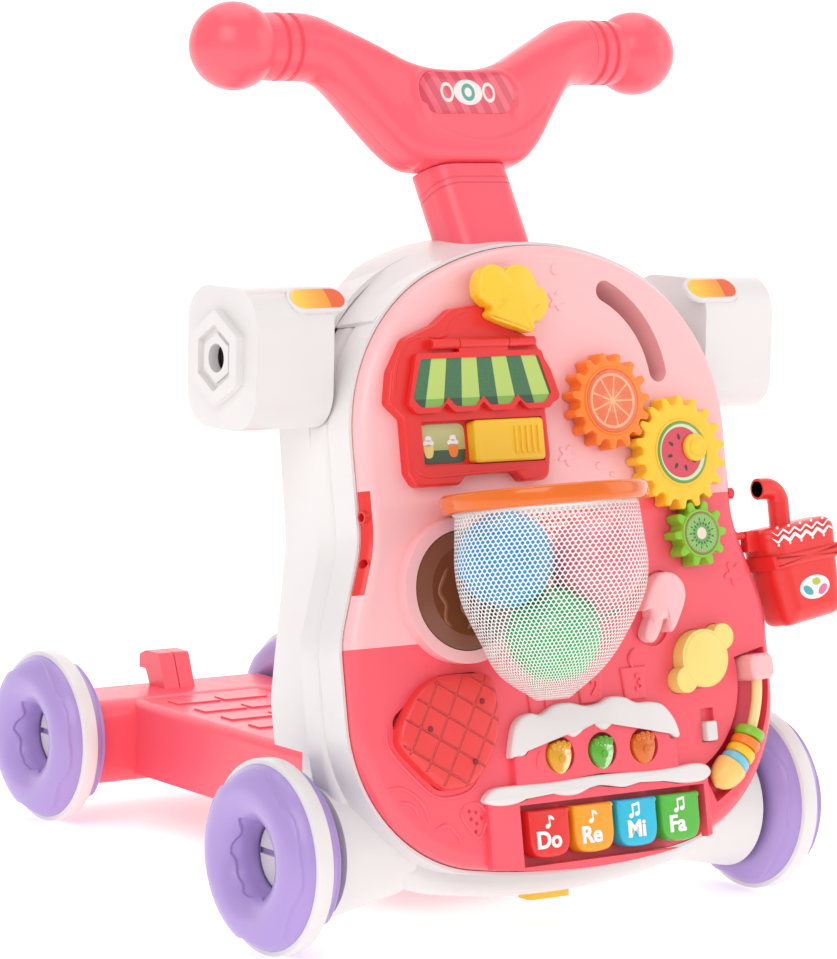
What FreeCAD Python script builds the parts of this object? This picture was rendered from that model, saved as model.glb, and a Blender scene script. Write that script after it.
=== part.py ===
import FreeCAD, Part

import math
import os
import re

import Sketcher
from FreeCAD import Placement, Rotation, Vector

# Baby walker with a play panel.  Millimetres and degrees, +Z up, the panel faces -Y and the
# origin lies on the floor, midway between the two axles.

SIZES = {
    # running gear
    "wheelbase": 430, "wheel_radius": 62, "tyre_width": 11.4, "tyre_round": 2,
    "front_track": 390, "rear_track": 218, "ring_radius": 40.5, "ring_bulge": 19.4,
    "axle_radius": 5, "run_gap": 0.05, "hub_radius": 12, "hub_wall": 3, "side_play": 0.6,
    "cone_radius": 44, "cone_gap": 7.6, "cone_root": 112, "cone_lift": 11,
    # play panel
    "panel_tilt": 10.6, "panel_foot": 80.8, "panel_top": 449, "panel_bottom": 49,
    "waist_half": 147, "belly_half": 168, "waist_low": 264, "belly_high": 205,
    "flank_radius": 70, "crown_slope": 21.5, "foot_slope": 8.8, "round_share": 0.47,
    "grip_u": 21, "grip_w": 354, "grip_radius": 71, "grip_half": 7, "grip_start": 8,
    "grip_end": 63,
    "panel_depth": 29, "panel_edge": 9, "panel_face": 4, "panel_wall": 4, "well_wall": 2,
    "back_plate": 3, "shadow_gap": 0.5, "split_left": 200, "split_right": 282, "split_step": 30,
    # white body
    "rim_grow": 2.5, "rim_foot": 16, "rim_depth": 22, "lip_front": 10, "shell_wall": 3,
    "back_wall": 68, "crown_rise": 8, "back_bow": 6, "step_height": 118, "shell_edge": 8,
    "leg_half": 136, "leg_floor": 24, "leg_back": 56,
    # arms
    "arm_reach": 207, "arm_depth": 80, "arm_front": 8, "arm_low": 326, "arm_high": 415,
    "arm_round": 24, "socket_radius": 30, "socket_depth": 6,
    "socket_bore": 9, "socket_hex": 21, "badge_half": 22, "badge_width": 20, "badge_thick": 2,
    # column and handlebar
    "column_y": 64, "column_z": 445, "column_lean": 31, "column_width": 60,
    "column_depth": 40, "column_length": 48, "column_root": 20, "column_round": 14,
    "bar_y": 83, "bar_z": 480, "bar_tilt": 18.4, "bar_half": 116, "bar_thick": 22,
    "bar_centre": 88, "bar_radius": 22, "bar_dip": 71, "bar_neck": 43, "bar_edge": 15,
    "bar_wall": 9, "bar_foot": 5, "wing_round": 40, "knob_radius": 28.3, "knob_x": 162,
    "collar_radius": 22, "groove_depth": 2,
    "emblem_width": 86, "emblem_height": 37, "emblem_centre": 52, "emblem_seat": 2,
    "emblem_proud": 1.5,
    # deck
    "spine_half": 57, "spine_floor": 35, "deck_top": 88, "beam_gap": 3.6,
    "beam_depth": 74, "beam_floor": 28, "beam_top": 89, "deck_edge": 7, "deck_wall": 3,
    "bar_pitch": 36, "bar_count": 5, "tread_width": 36, "tread_length": 15, "tread_high": 1.2,
    "hook_half": 13, "hook_rise": 25, "hook_seam": 0.8,
    # van with its flap and shutter
    "van_u": -62.5, "van_w": 354, "van_width": 135, "van_height": 114, "van_high": 8,
    "van_edge": 2, "track_floor": 2, "shutter_width": 54.5, "shutter_tall": 27,
    "shutter_high": 11, "shutter_travel": 38, "slide_gap": 0.6, "flap_width": 114.5,
    "flap_drop": 43, "flap_thick": 4, "hinge_radius": 3.2, "pin_radius": 1.5,
    "barrel_length": 38, "knuckle_length": 20.5, "window_rim": 3.5, "hinge_shift": 5.7,
    "flap_shift": 2.3, "scallop": 6,
    # turning hat
    "hat_u": -33, "hat_w": 410.5, "hat_low": 8.6, "hat_high": 21, "hat_tilt": 18.7,
    "puff_radius": 15, "post_radius": 4,
    # gears
    "gear_module": 3.9, "yellow_teeth": 18, "orange_teeth": 15, "green_teeth": 10,
    "yellow_u": 95, "yellow_w": 309.2, "orange_bearing": 146.3, "green_bearing": -79.1,
    "tooth_rise": 2.6, "tooth_root": 3.6, "tooth_width": 4.7, "gear_low": 0.8,
    "gear_high": 13, "spindle_radius": 3, "spindle_height": 9, "crank_radius": 9,
    "crank_offset": 10.5, "crank_rise": 3.5,
    # pads and liftable shapes
    "donut_u": -84, "donut_w": 231, "donut_radius": 37.5, "donut_ring": 46,
    "donut_ring_high": 9, "donut_high": 13, "waffle_u": -104, "waffle_w": 143.5,
    "waffle_width": 77, "waffle_height": 71, "waffle_high": 10, "pad_sink": 1,
    "pad_travel": 3, "pad_gap": 0.6, "stick_u": 72, "stick_w": 209.5, "stick_width": 29.5,
    "stick_height": 49, "stick_lean": 31, "shape_high": 10, "shape_seat": 2,
    "candy_u": 102, "candy_w": 174.3, "candy_radius": 19, "candy_twist": 8.5,
    "candy_offset": 21, "candy_lean": 38,
    # cake, buttons, keys and switch
    "cake_u": 11, "cake_w": 126, "cake_width": 138, "cake_rise": 5, "cake_foot": 102,
    "cake_top": 141.5, "cake_round": 15, "piano_left": -78, "piano_right": 100,
    "icing_high": 7,
    "button_u": 14.8, "button_w": 122, "button_pitch": 34, "button_radius": 11,
    "button_high": 9, "button_travel": 2, "key_count": 4, "key_pitch": 35.4, "key_u": 20.5,
    "key_low": 58, "key_high": 89, "key_gap": 4, "key_rise": 6.5, "key_sink": 5,
    "key_round": 11, "key_pivot": 2, "well_depth": 10, "switch_u": 107, "switch_w": 130.4,
    "switch_width": 11, "switch_travel": 8, "switch_length": 13, "switch_high": 5,
    # ring track
    "track_u": 73.5, "track_w": 160, "track_radius": 75, "track_half": 13, "track_start": -66,
    "track_end": 12, "track_depth": 8, "rod_radius": 3.5, "rod_high": 4, "bead_radius": 10,
    "bead_width": 6, "bead_gap": 0.4, "bead_first": -48, "bead_step": 5.8, "bead_count": 4,
    "cream_half": 9.5,
    # hoop, net and balls
    "hoop_u": -57, "hoop_w": 283.5, "hoop_high": 62, "hoop_radius": 65, "hoop_band": 12,
    "hoop_wall": 8, "hoop_mount": 60, "net_wall": 1.5, "net_radius": 61, "ball_radius": 30,
    # cup and its sockets
    "side_low": 233, "side_high": 297, "side_thick": 9, "side_back": 9.5,
    "side_front": 1.5, "peg_radius": 2.6, "boss_wall": 1.3, "boss_proud": 1.5,
    "cup_tuck": 6, "cup_flare": 10, "cup_span": 58, "cup_low": 189, "cup_high": 255,
    "cup_climb": 7.5, "cup_back": 24, "cup_front": 12, "cup_round": 11, "cup_corner": 7,
    "straw_out": 21, "straw_radius": 7.2, "straw_bend": 10, "straw_rise": 10,
    "straw_reach": 7, "bracket_tuck": 12, "bracket_low": 241, "bracket_high": 255,
    # inside and below
    "board_width": 62, "board_height": 44, "cell_radius": 7.2, "cell_length": 50,
    "door_width": 66, "door_height": 66, "tab_width": 34, "tab_depth": 15, "tab_height": 9,
    "tab_front": 32, "tab_low": 20, "tab_travel": 3,
}

doc = FreeCAD.newDocument("baby_walker")
sheet = doc.addObject("Spreadsheet::Sheet", "Sizes")
for row, (word, number) in enumerate(SIZES.items(), start=1):
    sheet.set(f"A{row}", word)
    sheet.set(f"B{row}", str(number))
    sheet.setAlias(f"B{row}", word)
doc.recompute()

WORDS = re.compile(r"\b(" + "|".join(SIZES) + r")\b")
PIECES = []
FRONT = "(-wheelbase / 2)"
REAR = "(wheelbase / 2)"
CONE_END = "(front_track / 2 - ring_bulge - cone_gap)"
BEAM_END = "(rear_track / 2 - ring_bulge - beam_gap)"
CUP_NEAR = "(belly_half - cup_tuck)"
CUP_FAR = "(belly_half + cup_span)"
STRAW_U = "(belly_half + straw_out)"
ACROSS = {"X": Rotation(Vector(0, 1, 0), 90), "Y": Rotation(Vector(1, 0, 0), -90),
          "Z": Rotation()}


# ---------------------------------------------------------------- formulas and places

def in_sheet(formula):
    return WORDS.sub(r"Sizes.\1", str(formula))


def value(formula):
    return float(sheet.evalExpression(in_sheet(formula)))


def bind(thing, **formulas):
    """Tie properties to formulas; a double underscore stands for a dot."""
    for name, formula in formulas.items():
        thing.setExpression(name.replace("__", "."), in_sheet(formula))
    return thing


def place(thing, x="0", y="0", z="0", axis=None, angle=None):
    """Put a thing at a place given by formulas, turned about a fixed axis."""
    if axis is not None:
        thing.Placement = Placement(Vector(), Rotation(Vector(*axis), value(angle)))
        bind(thing, Placement__Rotation__Angle=angle)
    return bind(thing, Placement__Base__x=x, Placement__Base__y=y, Placement__Base__z=z)


def on_panel(thing, u="0", w="0", high="0"):
    """Place a thing drawn in the panel's frame: u across, w up its slope, high out of it."""
    if any("Placement.Base" in path for path, _ in thing.ExpressionEngine):
        thing = grouped(thing.Name + "_held", thing)
    y = f"{FRONT} - panel_foot + ({w}) * sin(panel_tilt) - ({high}) * cos(panel_tilt)"
    z = f"({w}) * cos(panel_tilt) + ({high}) * sin(panel_tilt)"
    return place(thing, u, y, z, (1, 0, 0), "90 - panel_tilt")


def piece(label, thing):
    """Register a finished sub-part under its own label."""
    thing.Label = label
    PIECES.append(thing)
    return thing


# ---------------------------------------------------------------- solids

def block(name, x, y, z):
    """Box between a low and a high formula along each axis."""
    box = doc.addObject("Part::Box", name)
    bind(box, Length=f"({x[1]}) - ({x[0]})", Width=f"({y[1]}) - ({y[0]})",
         Height=f"({z[1]}) - ({z[0]})")
    return place(box, x[0], y[0], z[0])


def rod(name, radius, low, high, at=("0", "0"), axis="Z"):
    """Cylinder along an axis; at gives its two other coordinates in X, Y, Z order."""
    thing = doc.addObject("Part::Cylinder", name)
    bind(thing, Radius=radius, Height=f"({high}) - ({low})")
    return lay(thing, low, at, axis)


def taper(name, radius_low, radius_high, low, high, at=("0", "0"), axis="Z"):
    thing = doc.addObject("Part::Cone", name)
    bind(thing, Radius1=radius_low, Radius2=radius_high, Height=f"({high}) - ({low})")
    return lay(thing, low, at, axis)


def lay(thing, low, at, axis):
    spots = {"X": (low, at[0], at[1]), "Y": (at[0], low, at[1]), "Z": (at[0], at[1], low)}
    thing.Placement = Placement(Vector(), ACROSS[axis])
    return place(thing, *spots[axis])


def ball(name, radius, x="0", y="0", z="0"):
    thing = doc.addObject("Part::Sphere", name)
    bind(thing, Radius=radius)
    return place(thing, x, y, z)


def fused(name, *things):
    thing = doc.addObject("Part::MultiFuse", name)
    thing.Shapes = list(things)
    return thing


def cut(name, base, *tools):
    thing = doc.addObject("Part::Cut", name)
    thing.Base = base
    thing.Tool = tools[0] if len(tools) == 1 else fused(name + "_tools", *tools)
    return thing


def common(name, first, second):
    thing = doc.addObject("Part::Common", name)
    thing.Base = first
    thing.Tool = second
    return thing


def grouped(name, *things):
    thing = doc.addObject("Part::Compound", name)
    thing.Links = list(things)
    return thing


# ---------------------------------------------------------------- sketches

def rounded_corner(before, here, after, radius):
    """Tangent points, centre and turning sense of an arc that rounds one corner."""
    back = (before - here).normalize()
    ahead = (after - here).normalize()
    half = back.getAngle(ahead) / 2
    reach = radius / math.tan(half)
    centre = here + (back + ahead).normalize() * (radius / math.sin(half))
    return here + back * reach, here + ahead * reach, centre, back.cross(ahead).z < 0


def arc_between(centre, radius, start, end):
    first = math.atan2(start.y - centre.y, start.x - centre.x)
    last = math.atan2(end.y - centre.y, end.x - centre.x)
    if last < first:
        last += 2 * math.pi
    return Part.ArcOfCircle(Part.Circle(centre, Vector(0, 0, 1), radius), first, last)


def draw_outline(sketch, corners):
    """Closed outline of lines whose corners (x, y, radius) are formulas, each rounded by an
    arc tangent to both its lines, or left sharp where the radius is None."""
    points = [Vector(value(x), value(y), 0) for x, y, _ in corners]
    count = len(points)
    entries, exits, arcs = list(points), list(points), {}
    for i, (_, _, radius) in enumerate(corners):
        if radius is not None:
            arcs[i] = rounded_corner(points[i - 1], points[i], points[(i + 1) % count],
                                     value(radius))
            entries[i], exits[i] = arcs[i][:2]
    shapes = [Part.LineSegment(exits[i], entries[(i + 1) % count]) for i in range(count)]
    rules, formulas = [], {}

    def rule(kind, *what, formula=None):
        if formula is not None:
            formulas[len(rules)] = formula
            what += (value(formula),)
        rules.append(Sketcher.Constraint(kind, *what))

    for i, (x, y, radius) in enumerate(corners):
        before = (i - 1) % count
        if radius is None:
            rule("Coincident", before, 2, i, 1)
            held = (i, 1)
        else:
            entry, leave, centre, left = arcs[i]
            ends = (entry, leave) if left else (leave, entry)
            arc, corner = len(shapes), len(shapes) + 1
            shapes += [arc_between(centre, value(radius), *ends), Part.Point(points[i])]
            rule("Tangent", before, 2, arc, 1 if left else 2)
            rule("Tangent", i, 1, arc, 2 if left else 1)
            rule("PointOnObject", corner, 1, before)
            rule("PointOnObject", corner, 1, i)
            rule("Radius", arc, formula=radius)
            held = (corner, 1)
        rule("DistanceX", -1, 1, *held, formula=x)
        rule("DistanceY", -1, 1, *held, formula=y)
    sketch.addGeometry(shapes, False)
    for index, shape in enumerate(shapes):
        if isinstance(shape, Part.Point):
            sketch.setConstruction(index, True)
    sketch.addConstraint(rules)
    for index, formula in formulas.items():
        sketch.setExpression(f"Constraints[{index}]", in_sheet(formula))


def sketch_in(body, corners, plane="XY_Plane", lift="0", turn=None):
    sketch = body.newObject("Sketcher::SketchObject", body.Name + "_sketch")
    base = [f for f in body.Origin.OriginFeatures if f.Role == plane][0]
    sketch.AttachmentSupport = [(base, "")]
    sketch.MapMode = "FlatFace"
    if turn is not None:
        sketch.AttachmentOffset = Placement(Vector(), Rotation(Vector(0, 0, 1), value(turn)))
        bind(sketch, AttachmentOffset__Rotation__Angle=turn)
    bind(sketch, AttachmentOffset__Base__z=lift)
    draw_outline(sketch, corners)
    return sketch


def slab(name, corners, low, high, plane="XY_Plane", edge=None, rims="high", turn=None):
    """Body padded from an outline between two levels, its high, low or both rims rounded."""
    body = doc.addObject("PartDesign::Body", name)
    sketch = sketch_in(body, corners, plane, low, turn)
    pad = body.newObject("PartDesign::Pad", name + "_pad")
    pad.Profile = sketch
    bind(pad, Length=f"({high}) - ({low})")
    if edge is not None:
        doc.recompute()
        levels = {"high": [high], "low": [low], "both": [low, high]}[rims]
        round_rims(body, pad, edge, [value(level) for level in levels])
    return body


def round_rims(body, pad, edge, levels):
    """Round the pad's rims at the given levels."""
    along = {"XY_Plane": Vector(0, 0, 1), "YZ_Plane": Vector(1, 0, 0),
             "XZ_Plane": Vector(0, -1, 0)}[pad.Profile[0].AttachmentSupport[0][0].Role]
    rims = []
    for number, rim in enumerate(pad.Shape.Edges, start=1):
        ends = [rim.valueAt(t).dot(along) for t in (rim.FirstParameter, rim.LastParameter)]
        if any(max(abs(end - level) for end in ends) < 1e-4 for level in levels):
            rims.append(f"Edge{number}")
    fillet = body.newObject("PartDesign::Fillet", body.Name + "_edge")
    fillet.Base = (pad, rims)
    fillet.Radius = value(edge)
    bind(fillet, Radius=edge)


def turned(name, corners):
    """Body revolved about its own X axis from an outline of (along, radius) corners."""
    body = doc.addObject("PartDesign::Body", name)
    sketch = sketch_in(body, corners)
    feature = body.newObject("PartDesign::Revolution", name + "_turn")
    feature.Profile = sketch
    feature.ReferenceAxis = (sketch, ["H_Axis"])
    feature.Angle = 360
    return body


def proportioned(points, width, height, u="0", w="0"):
    """Corners given as shares of a width and a height, (0, 0) at the lower left."""
    return [(f"{u} + ({x} - 0.5) * {width}", f"{w} + ({y} - 0.5) * {height}",
             None if share is None else f"{share} * {width}") for x, y, share in points]


def mirrored(half):
    """Whole outline from its right half, which starts and ends on the centre line."""
    left = [(f"-({x})", y, radius) for x, y, radius in half[1:-1]]
    return [half[0]] + left + [half[-1]] + half[-2:0:-1]


def rectangle(x, y, radius=None):
    return [(x[0], y[0], radius), (x[1], y[0], radius), (x[1], y[1], radius),
            (x[0], y[1], radius)]


def play_outline(grow="0", foot="0"):
    """The panel's outline: a crown, two shoulders, a waist, a wide belly and a flat foot."""
    side, belly = f"(waist_half + {grow})", f"(belly_half + {grow})"
    crown = f"(round_share * {side} / sin(crown_slope))"
    shoulder = (f"((0.97 - round_share) * {side} / cos(crown_slope)"
                " / tan(45 - crown_slope / 2))")
    sole = f"(round_share * {belly} / sin(foot_slope))"
    corner = (f"((0.97 - round_share) * {belly} / cos(foot_slope)"
              " / tan(45 - foot_slope / 2))")
    peak = f"(panel_top + {grow} + {crown} * (1 / cos(crown_slope) - 1))"
    base = f"(panel_bottom - {foot} - {sole} * (1 / cos(foot_slope) - 1))"
    return mirrored([
        ("0", peak, crown),
        (side, f"{peak} - {side} * tan(crown_slope)", shoulder),
        (side, "waist_low", "flank_radius"),
        (belly, "belly_high", "flank_radius"),
        (belly, f"{base} + {belly} * tan(foot_slope)", corner),
        ("0", base, sole),
    ])


# ---------------------------------------------------------------- running gear

def build_wheels():
    inner = "-tyre_width / 2"
    reach = f"front_track / 2 - {CONE_END} - side_play"
    for end, track, axle_y in (("front", "front_track", FRONT), ("rear", "rear_track", REAR)):
        sleeve = reach if end == "front" else f"rear_track / 2 - {BEAM_END} - side_play"
        for side, sign, angle in (("right", "", "0"), ("left", "-", "180")):
            name = f"{end}_{side}"
            bore = "axle_radius + run_gap"
            blind = "tyre_width / 2 - hub_wall"
            core = turned("core_" + name, [
                (f"-({sleeve})", bore, None), (blind, bore, None), (blind, "0", None),
                ("tyre_width / 2", "0", None), ("tyre_width / 2", "wheel_radius", "tyre_round"),
                (inner, "wheel_radius", "tyre_round"), (inner, "hub_radius", None),
                (f"-({sleeve})", "hub_radius", None)])
            spot = (f"{sign}{track} / 2", axle_y, "wheel_radius")
            place(core, *spot, (0, 0, 1), angle)
            piece("wheel_core_" + name, core)
            ring = doc.addObject("Part::Torus", "ring_" + name)
            bind(ring, Radius1="ring_radius", Radius2="ring_bulge")
            ring.Placement = Placement(Vector(), ACROSS["X"])
            slot = rod("slot_" + name, "wheel_radius", inner, "tyre_width / 2", axis="X")
            halves = cut("halves_" + name, ring, slot)
            place(halves, *spot, (0, 0, 1), angle)
            piece("wheel_rings_" + name, halves)


def build_axles():
    rods = []
    for end, track, axle_y in (("front", "front_track", FRONT), ("rear", "rear_track", REAR)):
        half = f"({track} / 2 + tyre_width / 2 - hub_wall - side_play)"
        rods.append(rod(end + "_axle_rod", "axle_radius", f"-{half}", half,
                        (axle_y, "wheel_radius"), "X"))
    piece("axles", grouped("axle_pair", *rods))


# ---------------------------------------------------------------- white body

def back_plane(inset):
    return f"{FRONT} + back_wall - {inset}"


def body_arch(name, inset, low, high, rise="0"):
    """Arch of the upper body, of the rim's own width, between two levels of the panel."""
    side = f"(waist_half + rim_grow - {inset})"
    crown = f"(round_share * {side} / sin(crown_slope))"
    shoulder = (f"((0.97 - round_share) * {side} / cos(crown_slope)"
                " / tan(45 - crown_slope / 2))")
    peak = (f"(panel_top + rim_grow + {rise} - {inset}"
            f" + {crown} * (1 / cos(crown_slope) - 1))")
    return on_panel(slab(name, mirrored([
        ("0", peak, crown), (side, f"{peak} - {side} * tan(crown_slope)", shoulder),
        (side, "step_height / 2", None), ("0", "step_height / 2", None)]), low, high))


def rear_envelope(name, inset, front_level):
    """Upper body's outer form, or its hollow when inset by the wall."""
    arch = body_arch(name + "_arch", inset, "-panel_foot - back_wall * 3", front_level,
                     "crown_rise")
    back, bow = back_plane(inset), "back_bow"
    floor = f"step_height + {inset}"
    profile = slab(name + "_profile", [
        (f"{FRONT} - panel_foot", floor, None), (back, floor, None),
        (f"{back} + {bow}", "step_height + 28", "40"),
        (f"{back} - {bow} * 1.5", "step_height + 134", "60"),
        (f"{back} + {bow}", "step_height + 232", "60"),
        (f"{back} + {bow} * 4.5", "panel_top + 20", None),
        (f"{FRONT} - panel_foot", "panel_top + 20", None)],
        "-belly_half", "belly_half", "YZ_Plane")
    return common(name, arch, profile)


def column_form(name, grow, low, high, edge=None):
    half, deep = f"(column_width / 2 + {grow})", f"(column_depth / 2 + {grow})"
    form = slab(name, rectangle((f"-{half}", half), (f"-{deep}", deep), "column_round"),
                low, high)
    return place(form, "0", f"{FRONT} + column_y", "column_z", (-1, 0, 0), "column_lean")


def build_rear_shell():
    seam = "-panel_depth - back_plate - rim_depth"
    outer = rear_envelope("rear_outer", "0", seam)
    inner = rear_envelope("rear_inner", "shell_wall", seam)
    hole = column_form("column_hole", "0", "-column_root - 1", "column_length")
    piece("rear_shell", cut("rear_cup", outer, inner, hole))


def leg_form(name, inset):
    """Lower body behind the panel's foot, or its hollow when inset by the wall."""
    half = f"(leg_half - {inset})"
    low, high = f"(leg_floor + {inset})", f"(step_height - {inset})"
    seam = "-panel_depth - back_plate - rim_depth"
    form = slab(name, mirrored([
        ("0", high, None), (half, high, None), (half, f"{low} + 52", "30"),
        (f"{half} * 0.76", f"{low} + 8", "30"), ("0", low, None)]),
        f"-({FRONT} + leg_back - {inset})", f"-({FRONT} - panel_foot)", "XZ_Plane")
    gap = "0" if inset == "0" else "shell_wall + 1"
    ahead = on_panel(block(name + "_ahead", ("-belly_half", "belly_half"),
                           ("-step_height", "step_height * 2"),
                           (f"{seam} + {gap}", "panel_foot")))
    return cut(name + "_behind", form, ahead)


def build_front_shell():
    """White frame behind the panel: a flared rim, the lower body and two wheel cones."""
    seat, seam = "-panel_depth - back_plate", "-panel_depth - back_plate - rim_depth"
    rim = slab("rim_outer", play_outline("rim_grow", "rim_foot"), seam, seat,
               edge="shell_edge")
    hollow = slab("rim_inner", play_outline("(rim_grow - shell_wall)",
                                            "(rim_foot - shell_wall)"),
                  f"{seam} + shell_wall", f"{seat} - shell_wall")
    window = body_arch("rim_window", "shell_wall", f"{seam} - 1", f"{seam} + shell_wall + 1")
    tray = cut("rim_tray", on_panel(rim), on_panel(hollow), window)
    parts = [tray, leg_form("leg_outer", "0"), rim_lip(seat)]
    tray_room = on_panel(slab("panel_room_ahead", play_outline("shadow_gap", "shadow_gap"),
                              seat, "panel_depth"))
    for side, sign in (("right", ""), ("left", "-")):
        parts.append(cut("cone_trimmed_" + side, wheel_cone("cone_" + side, sign), tray_room))
    bore = rod("front_bore", "axle_radius", f"-{CONE_END} - 1", f"{CONE_END} + 1",
               (FRONT, "wheel_radius"), "X")
    hollowed = cut("front_hollowed", fused("front_mass", *parts),
                   leg_form("leg_inner", "shell_wall"))
    hole = column_form("column_slot", "0", "-column_root - 1", "column_length")
    whole = cut("front_bored", fused("front_whole", hollowed, axle_tunnel()), bore, hole,
                tab_form("tab_pocket", "pad_gap", "tab_travel + pad_gap"))
    piece("front_shell", whole)


def rim_lip(seat):
    """Thin wall that stands forward from the rim and wraps the panel's edge."""
    outer = slab("lip_outer", play_outline("rim_grow", "rim_grow"), f"{seat} - 1",
                 "-lip_front")
    inner = slab("lip_inner", play_outline("shadow_gap", "shadow_gap"), seat,
                 "-lip_front + 1")
    return on_panel(cut("rim_lip", outer, inner))


def axle_tunnel():
    return rod("axle_tunnel", "hub_radius", "-cone_root - 4", "cone_root + 4",
               (FRONT, "wheel_radius"), "X")


def wheel_cone(name, sign):
    """Slanted round horn from the lower body out to the wheel's hub."""
    loft = doc.addObject("Part::Loft", name)
    rings = []
    for spot, x, z in (("root", "cone_root", "wheel_radius + cone_lift"),
                       ("tip", CONE_END, "wheel_radius")):
        ring = doc.addObject("Part::Circle", f"{name}_{spot}")
        bind(ring, Radius="cone_radius")
        ring.Placement = Placement(Vector(), ACROSS["X"])
        rings.append(place(ring, f"{sign}{x}", FRONT, z))
    loft.Sections = rings
    loft.Solid = True
    loft.Ruled = True
    return loft


# ---------------------------------------------------------------- arms

def span(sign, near, far):
    """Low and high formulas of a stretch from near to far on one side of the centre."""
    return (near, far) if sign == "" else (f"-({far})", f"-({near})")


def build_arms():
    depth = (f"{FRONT} + arm_front", f"{FRONT} + arm_front + arm_depth")
    height = ("arm_low", "arm_high")
    centre = (f"{FRONT} + arm_front + arm_depth / 2", "(arm_low + arm_high) / 2")
    sockets, badges = [], []
    for side, sign in (("left", "-"), ("right", "")):
        low, high = span(sign, "(waist_half + rim_grow)", "arm_reach")
        box = slab("arm_box_" + side, rectangle(depth, height, "arm_round"), low, high,
                   "YZ_Plane")
        inner = span(sign, "waist_half + rim_grow + shell_wall", "arm_reach - shell_wall")
        shrunk = [(f"{a} + shell_wall", f"{b} - shell_wall") for a, b in (depth, height)]
        hollow = slab("arm_hollow_" + side,
                      rectangle(*shrunk, "arm_round - shell_wall"), *inner, "YZ_Plane")
        mouth = rod("arm_mouth_" + side, "socket_radius - shell_wall",
                    *span(sign, "arm_reach - shell_wall * 2", "arm_reach + 1"), centre, "X")
        badge = arm_badge("badge_" + side, sign)
        badges.append(badge)
        piece("arm_shell_" + side, cut("arm_cup_" + side, box, hollow, mouth, badge))
        sockets.append(leg_socket(side, sign, centre))
    piece("leg_sockets", grouped("socket_pair", *sockets))
    piece("arm_badges", grouped("badge_pair", *badges))


def leg_socket(side, sign, centre):
    """Hexagon boss with a hexagon recess and a bored hexagon nut inside it."""
    boss = hexagon("socket_boss_" + side, "socket_radius",
                   span(sign, "arm_reach", "arm_reach + socket_depth"), centre)
    plug = rod("socket_plug_" + side, "socket_radius - shell_wall",
               *span(sign, "arm_reach - shell_wall", "arm_reach"), centre, "X")
    recess = hexagon("socket_recess_" + side, "socket_hex",
                     span(sign, "arm_reach + 2", "arm_reach + socket_depth + 1"), centre)
    nut = hexagon("socket_nut_" + side, "socket_hex * 0.75",
                  span(sign, "arm_reach", "arm_reach + socket_depth - 2"), centre)
    bore = rod("socket_bore_" + side, "socket_bore",
               *span(sign, "arm_reach - shell_wall * 2", "arm_reach + socket_depth + 1"),
               centre, "X")
    cupped = cut("socket_cup_" + side, fused("socket_body_" + side, boss, plug), recess)
    return cut("socket_" + side, fused("socket_all_" + side, cupped, nut), bore)


def hexagon(name, radius, reach, centre):
    prism = doc.addObject("Part::Prism", name)
    prism.Polygon = 6
    bind(prism, Circumradius=radius, Height=f"({reach[1]}) - ({reach[0]})")
    return lay(prism, reach[0], centre, "X")


def arm_badge(name, sign):
    """Slotted oval plate set into the arm's front upper corner at 45 degrees."""
    ends = "(badge_width / 2)"
    plate = slab(name, rectangle(("-badge_half", "badge_half"), (f"-{ends}", ends),
                                 "badge_width * 0.48"), "-badge_thick", "badge_thick / 2")
    inset = "arm_round * 0.293"
    return place(plate, f"{sign}(arm_reach - badge_half * 2.2)",
                 f"{FRONT} + arm_front + {inset}", f"arm_high - {inset}",
                 (1, 0, 0), "45")


# ---------------------------------------------------------------- column and handlebar

def build_column():
    bar = bar_place(slab("bar_clearance", bar_outline("0"), "-bar_thick", "bar_thick"))
    form = column_form("column_form", "0", "-column_root", "column_length")
    piece("steering_column", cut("column_trim", form, bar))


def bar_place(thing):
    return place(thing, "0", f"{FRONT} + bar_y", "bar_z", (1, 0, 0), "90 - bar_tilt")


def bar_outline(inset):
    """Wide V of the handlebar: a neck, two rising wings and level tube ends."""
    top, low = f"(bar_centre + bar_radius - {inset})", f"(bar_centre - bar_radius + {inset})"
    end = f"(bar_half - {inset})"
    return mirrored([
        ("0", f"bar_dip - {inset}", "120"), ("bar_half * 0.86", top, f"(wing_round - {inset})"),
        (end, top, None), (end, low, None),
        ("bar_half * 0.84", low, "14"),
        (f"bar_neck + 10 - {inset} * 0.7", "bar_foot + 6", "26"),
        (f"bar_neck - {inset}", f"bar_foot + {inset}", None),
        ("0", f"bar_foot + {inset}", None)])


def build_handlebar():
    emblem_size = ("emblem_width / 2", "emblem_height / 2")
    emblem = bar_place(slab("emblem_form", rectangle(
        *[(f"-{half}", half) for half in emblem_size[:1]],
        (f"emblem_centre - {emblem_size[1]}", f"emblem_centre + {emblem_size[1]}"),
        "emblem_height * 0.48"), "bar_thick - emblem_seat", "bar_thick + emblem_proud"))
    front = bar_place(slab("bar_front", bar_outline("0"), "0", "bar_thick", edge="bar_edge"))
    front_room = bar_place(slab("bar_front_room", bar_outline("bar_wall"), "-1",
                                "bar_thick - bar_wall"))
    piece("handlebar_front_shell", cut("bar_front_cup", front, front_room, emblem))
    rear = bar_place(slab("bar_rear", bar_outline("0"), "-bar_thick", "0",
                         edge="bar_edge", rims="low"))
    rear_room = bar_place(slab("bar_rear_room", bar_outline("bar_wall"),
                               "-bar_thick + bar_wall", "1"))
    piece("handlebar_rear_shell", cut("bar_rear_cup", rear, rear_room))
    piece("handlebar_badge", emblem)
    knobs = []
    for side, angle in (("right", "0"), ("left", "180")):
        knobs.append(grip_knob("knob_" + side, "" if side == "right" else "-", angle))
    piece("grip_knobs", grouped("knob_pair", *knobs))


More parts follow.
